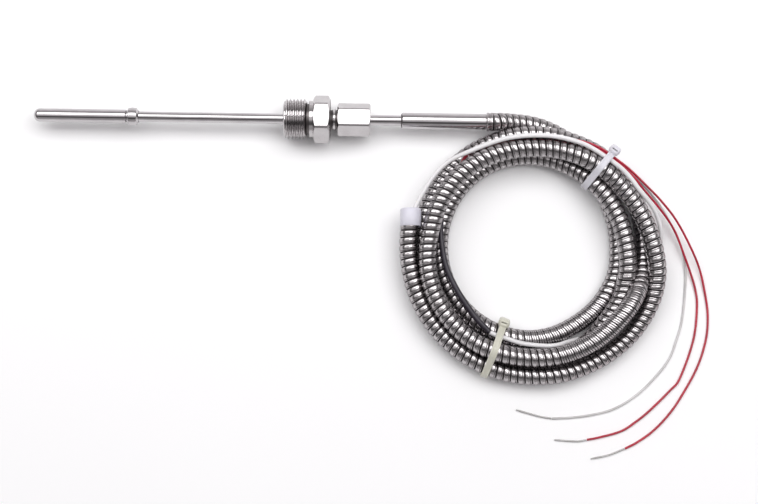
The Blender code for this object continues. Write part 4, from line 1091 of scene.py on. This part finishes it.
# Floor, lights and world
FLOOR_HALF = 6.0
LIGHT_HEIGHT = 1.05
# Angle from straight up, in degrees, and how bright the room is there: towards +Y, and
# towards +X, where the darker of the two counts
ROOM_ACROSS = [
    (-180, 0.50), (-104, 0.34), (-93, 0.13), (-84, 0.13), (-75, 0.44), (-55, 0.46), (-47, 0.10),
    (-33, 0.10), (-24, 0.25), (-14, 0.85), (30, 0.85), (42, 0.38), (50, 0.40), (62, 0.55),
    (80, 0.85), (100, 0.85), (180, 0.50),
]
ROOM_ALONG = [
    (-180, 0.5), (-98, 0.5), (-88, 0.10), (-58, 0.10), (-50, 1.0), (50, 1.0), (58, 0.12),
    (88, 0.12), (98, 0.5), (180, 0.5),
]
ROOM_TINT = (1.0, 0.97, 0.985)
# Low down the room is one plain wall: sines of the heights where the bands begin to show
# and where they are whole, and the wall's colour
HORIZON_FADE = (0.15, 0.19)
HORIZON_COLOUR = (0.80, 0.776, 0.788, 1.0)


def make_floor():
    material, nodes, links, shader = new_material("floor")
    cloud = noise(nodes, links, coordinates(nodes, links), 3.0, detail=2.0)
    colour = two_tone(nodes, links, cloud, (0.960, 0.960, 0.965), (0.950, 0.950, 0.957))
    links.new(colour, shader.inputs["Base Color"])
    shader.inputs["Roughness"].default_value = 0.7
    shader.inputs["Specular IOR Level"].default_value = 0.1
    mesh = bpy.data.meshes.new("floor")
    corners = [(-1, -1), (1, -1), (1, 1), (-1, 1)]
    mesh.from_pydata([(x * FLOOR_HALF, y * FLOOR_HALF, 0) for x, y in corners], [], [(0, 1, 2, 3)])
    mesh.materials.append(material)
    add_object("floor", mesh)


def area_light(name, place, size, power):
    """A rectangular lamp that faces straight down."""
    data = bpy.data.lights.new(name, "AREA")
    data.shape = "RECTANGLE"
    data.size, data.size_y = size
    data.energy = power
    add_object(name, data).location = (*place, LIGHT_HEIGHT)


def bands(nodes, links, sideways, upwards, room):
    turn = nodes.new("ShaderNodeMath")
    turn.operation = "ARCTAN2"
    links.new(sideways, turn.inputs[0])
    links.new(upwards, turn.inputs[1])
    share = ramp(nodes, links, turn.outputs["Value"], 0.0, 1.0, -math.pi, math.pi)
    node = nodes.new("ShaderNodeValToRGB")
    stops = node.color_ramp.elements
    while len(stops) < len(room):
        stops.new(0.5)
    for stop, (angle, level) in zip(stops, room):
        stop.position = (angle + 180) / 360
        stop.color = (*(level * tint for tint in ROOM_TINT), 1.0)
    links.new(share, node.inputs["Fac"])
    return node.outputs["Color"]


def make_world():
    """A white tent whose brightness changes in wide bands along and across the probe."""
    world = bpy.data.worlds.new("studio")
    world.use_nodes = True
    bpy.context.scene.world = world
    nodes, links = world.node_tree.nodes, world.node_tree.links
    place = nodes.new("ShaderNodeTexCoord")
    split = nodes.new("ShaderNodeSeparateXYZ")
    links.new(place.outputs["Generated"], split.inputs["Vector"])
    x, y, z = (split.outputs[axis] for axis in "XYZ")
    across = bands(nodes, links, y, z, ROOM_ACROSS)
    along = bands(nodes, links, x, z, ROOM_ALONG)
    darker = mix_colours(nodes, links, 1.0, across, along, "DARKEN")
    low_down = ramp(nodes, links, z, 1.0, 0.0, *HORIZON_FADE)
    room = mix_colours(nodes, links, low_down, darker, HORIZON_COLOUR)
    links.new(room, nodes["Background"].inputs["Color"])


make_floor()
make_world()
area_light("key", (-0.15, 0.445), (2.3, 0.69), 12.4)
area_light("near_key", (0.59, -0.045), (0.82, 0.29), 2.0)
bpy.context.scene.view_settings.view_transform = "Standard"
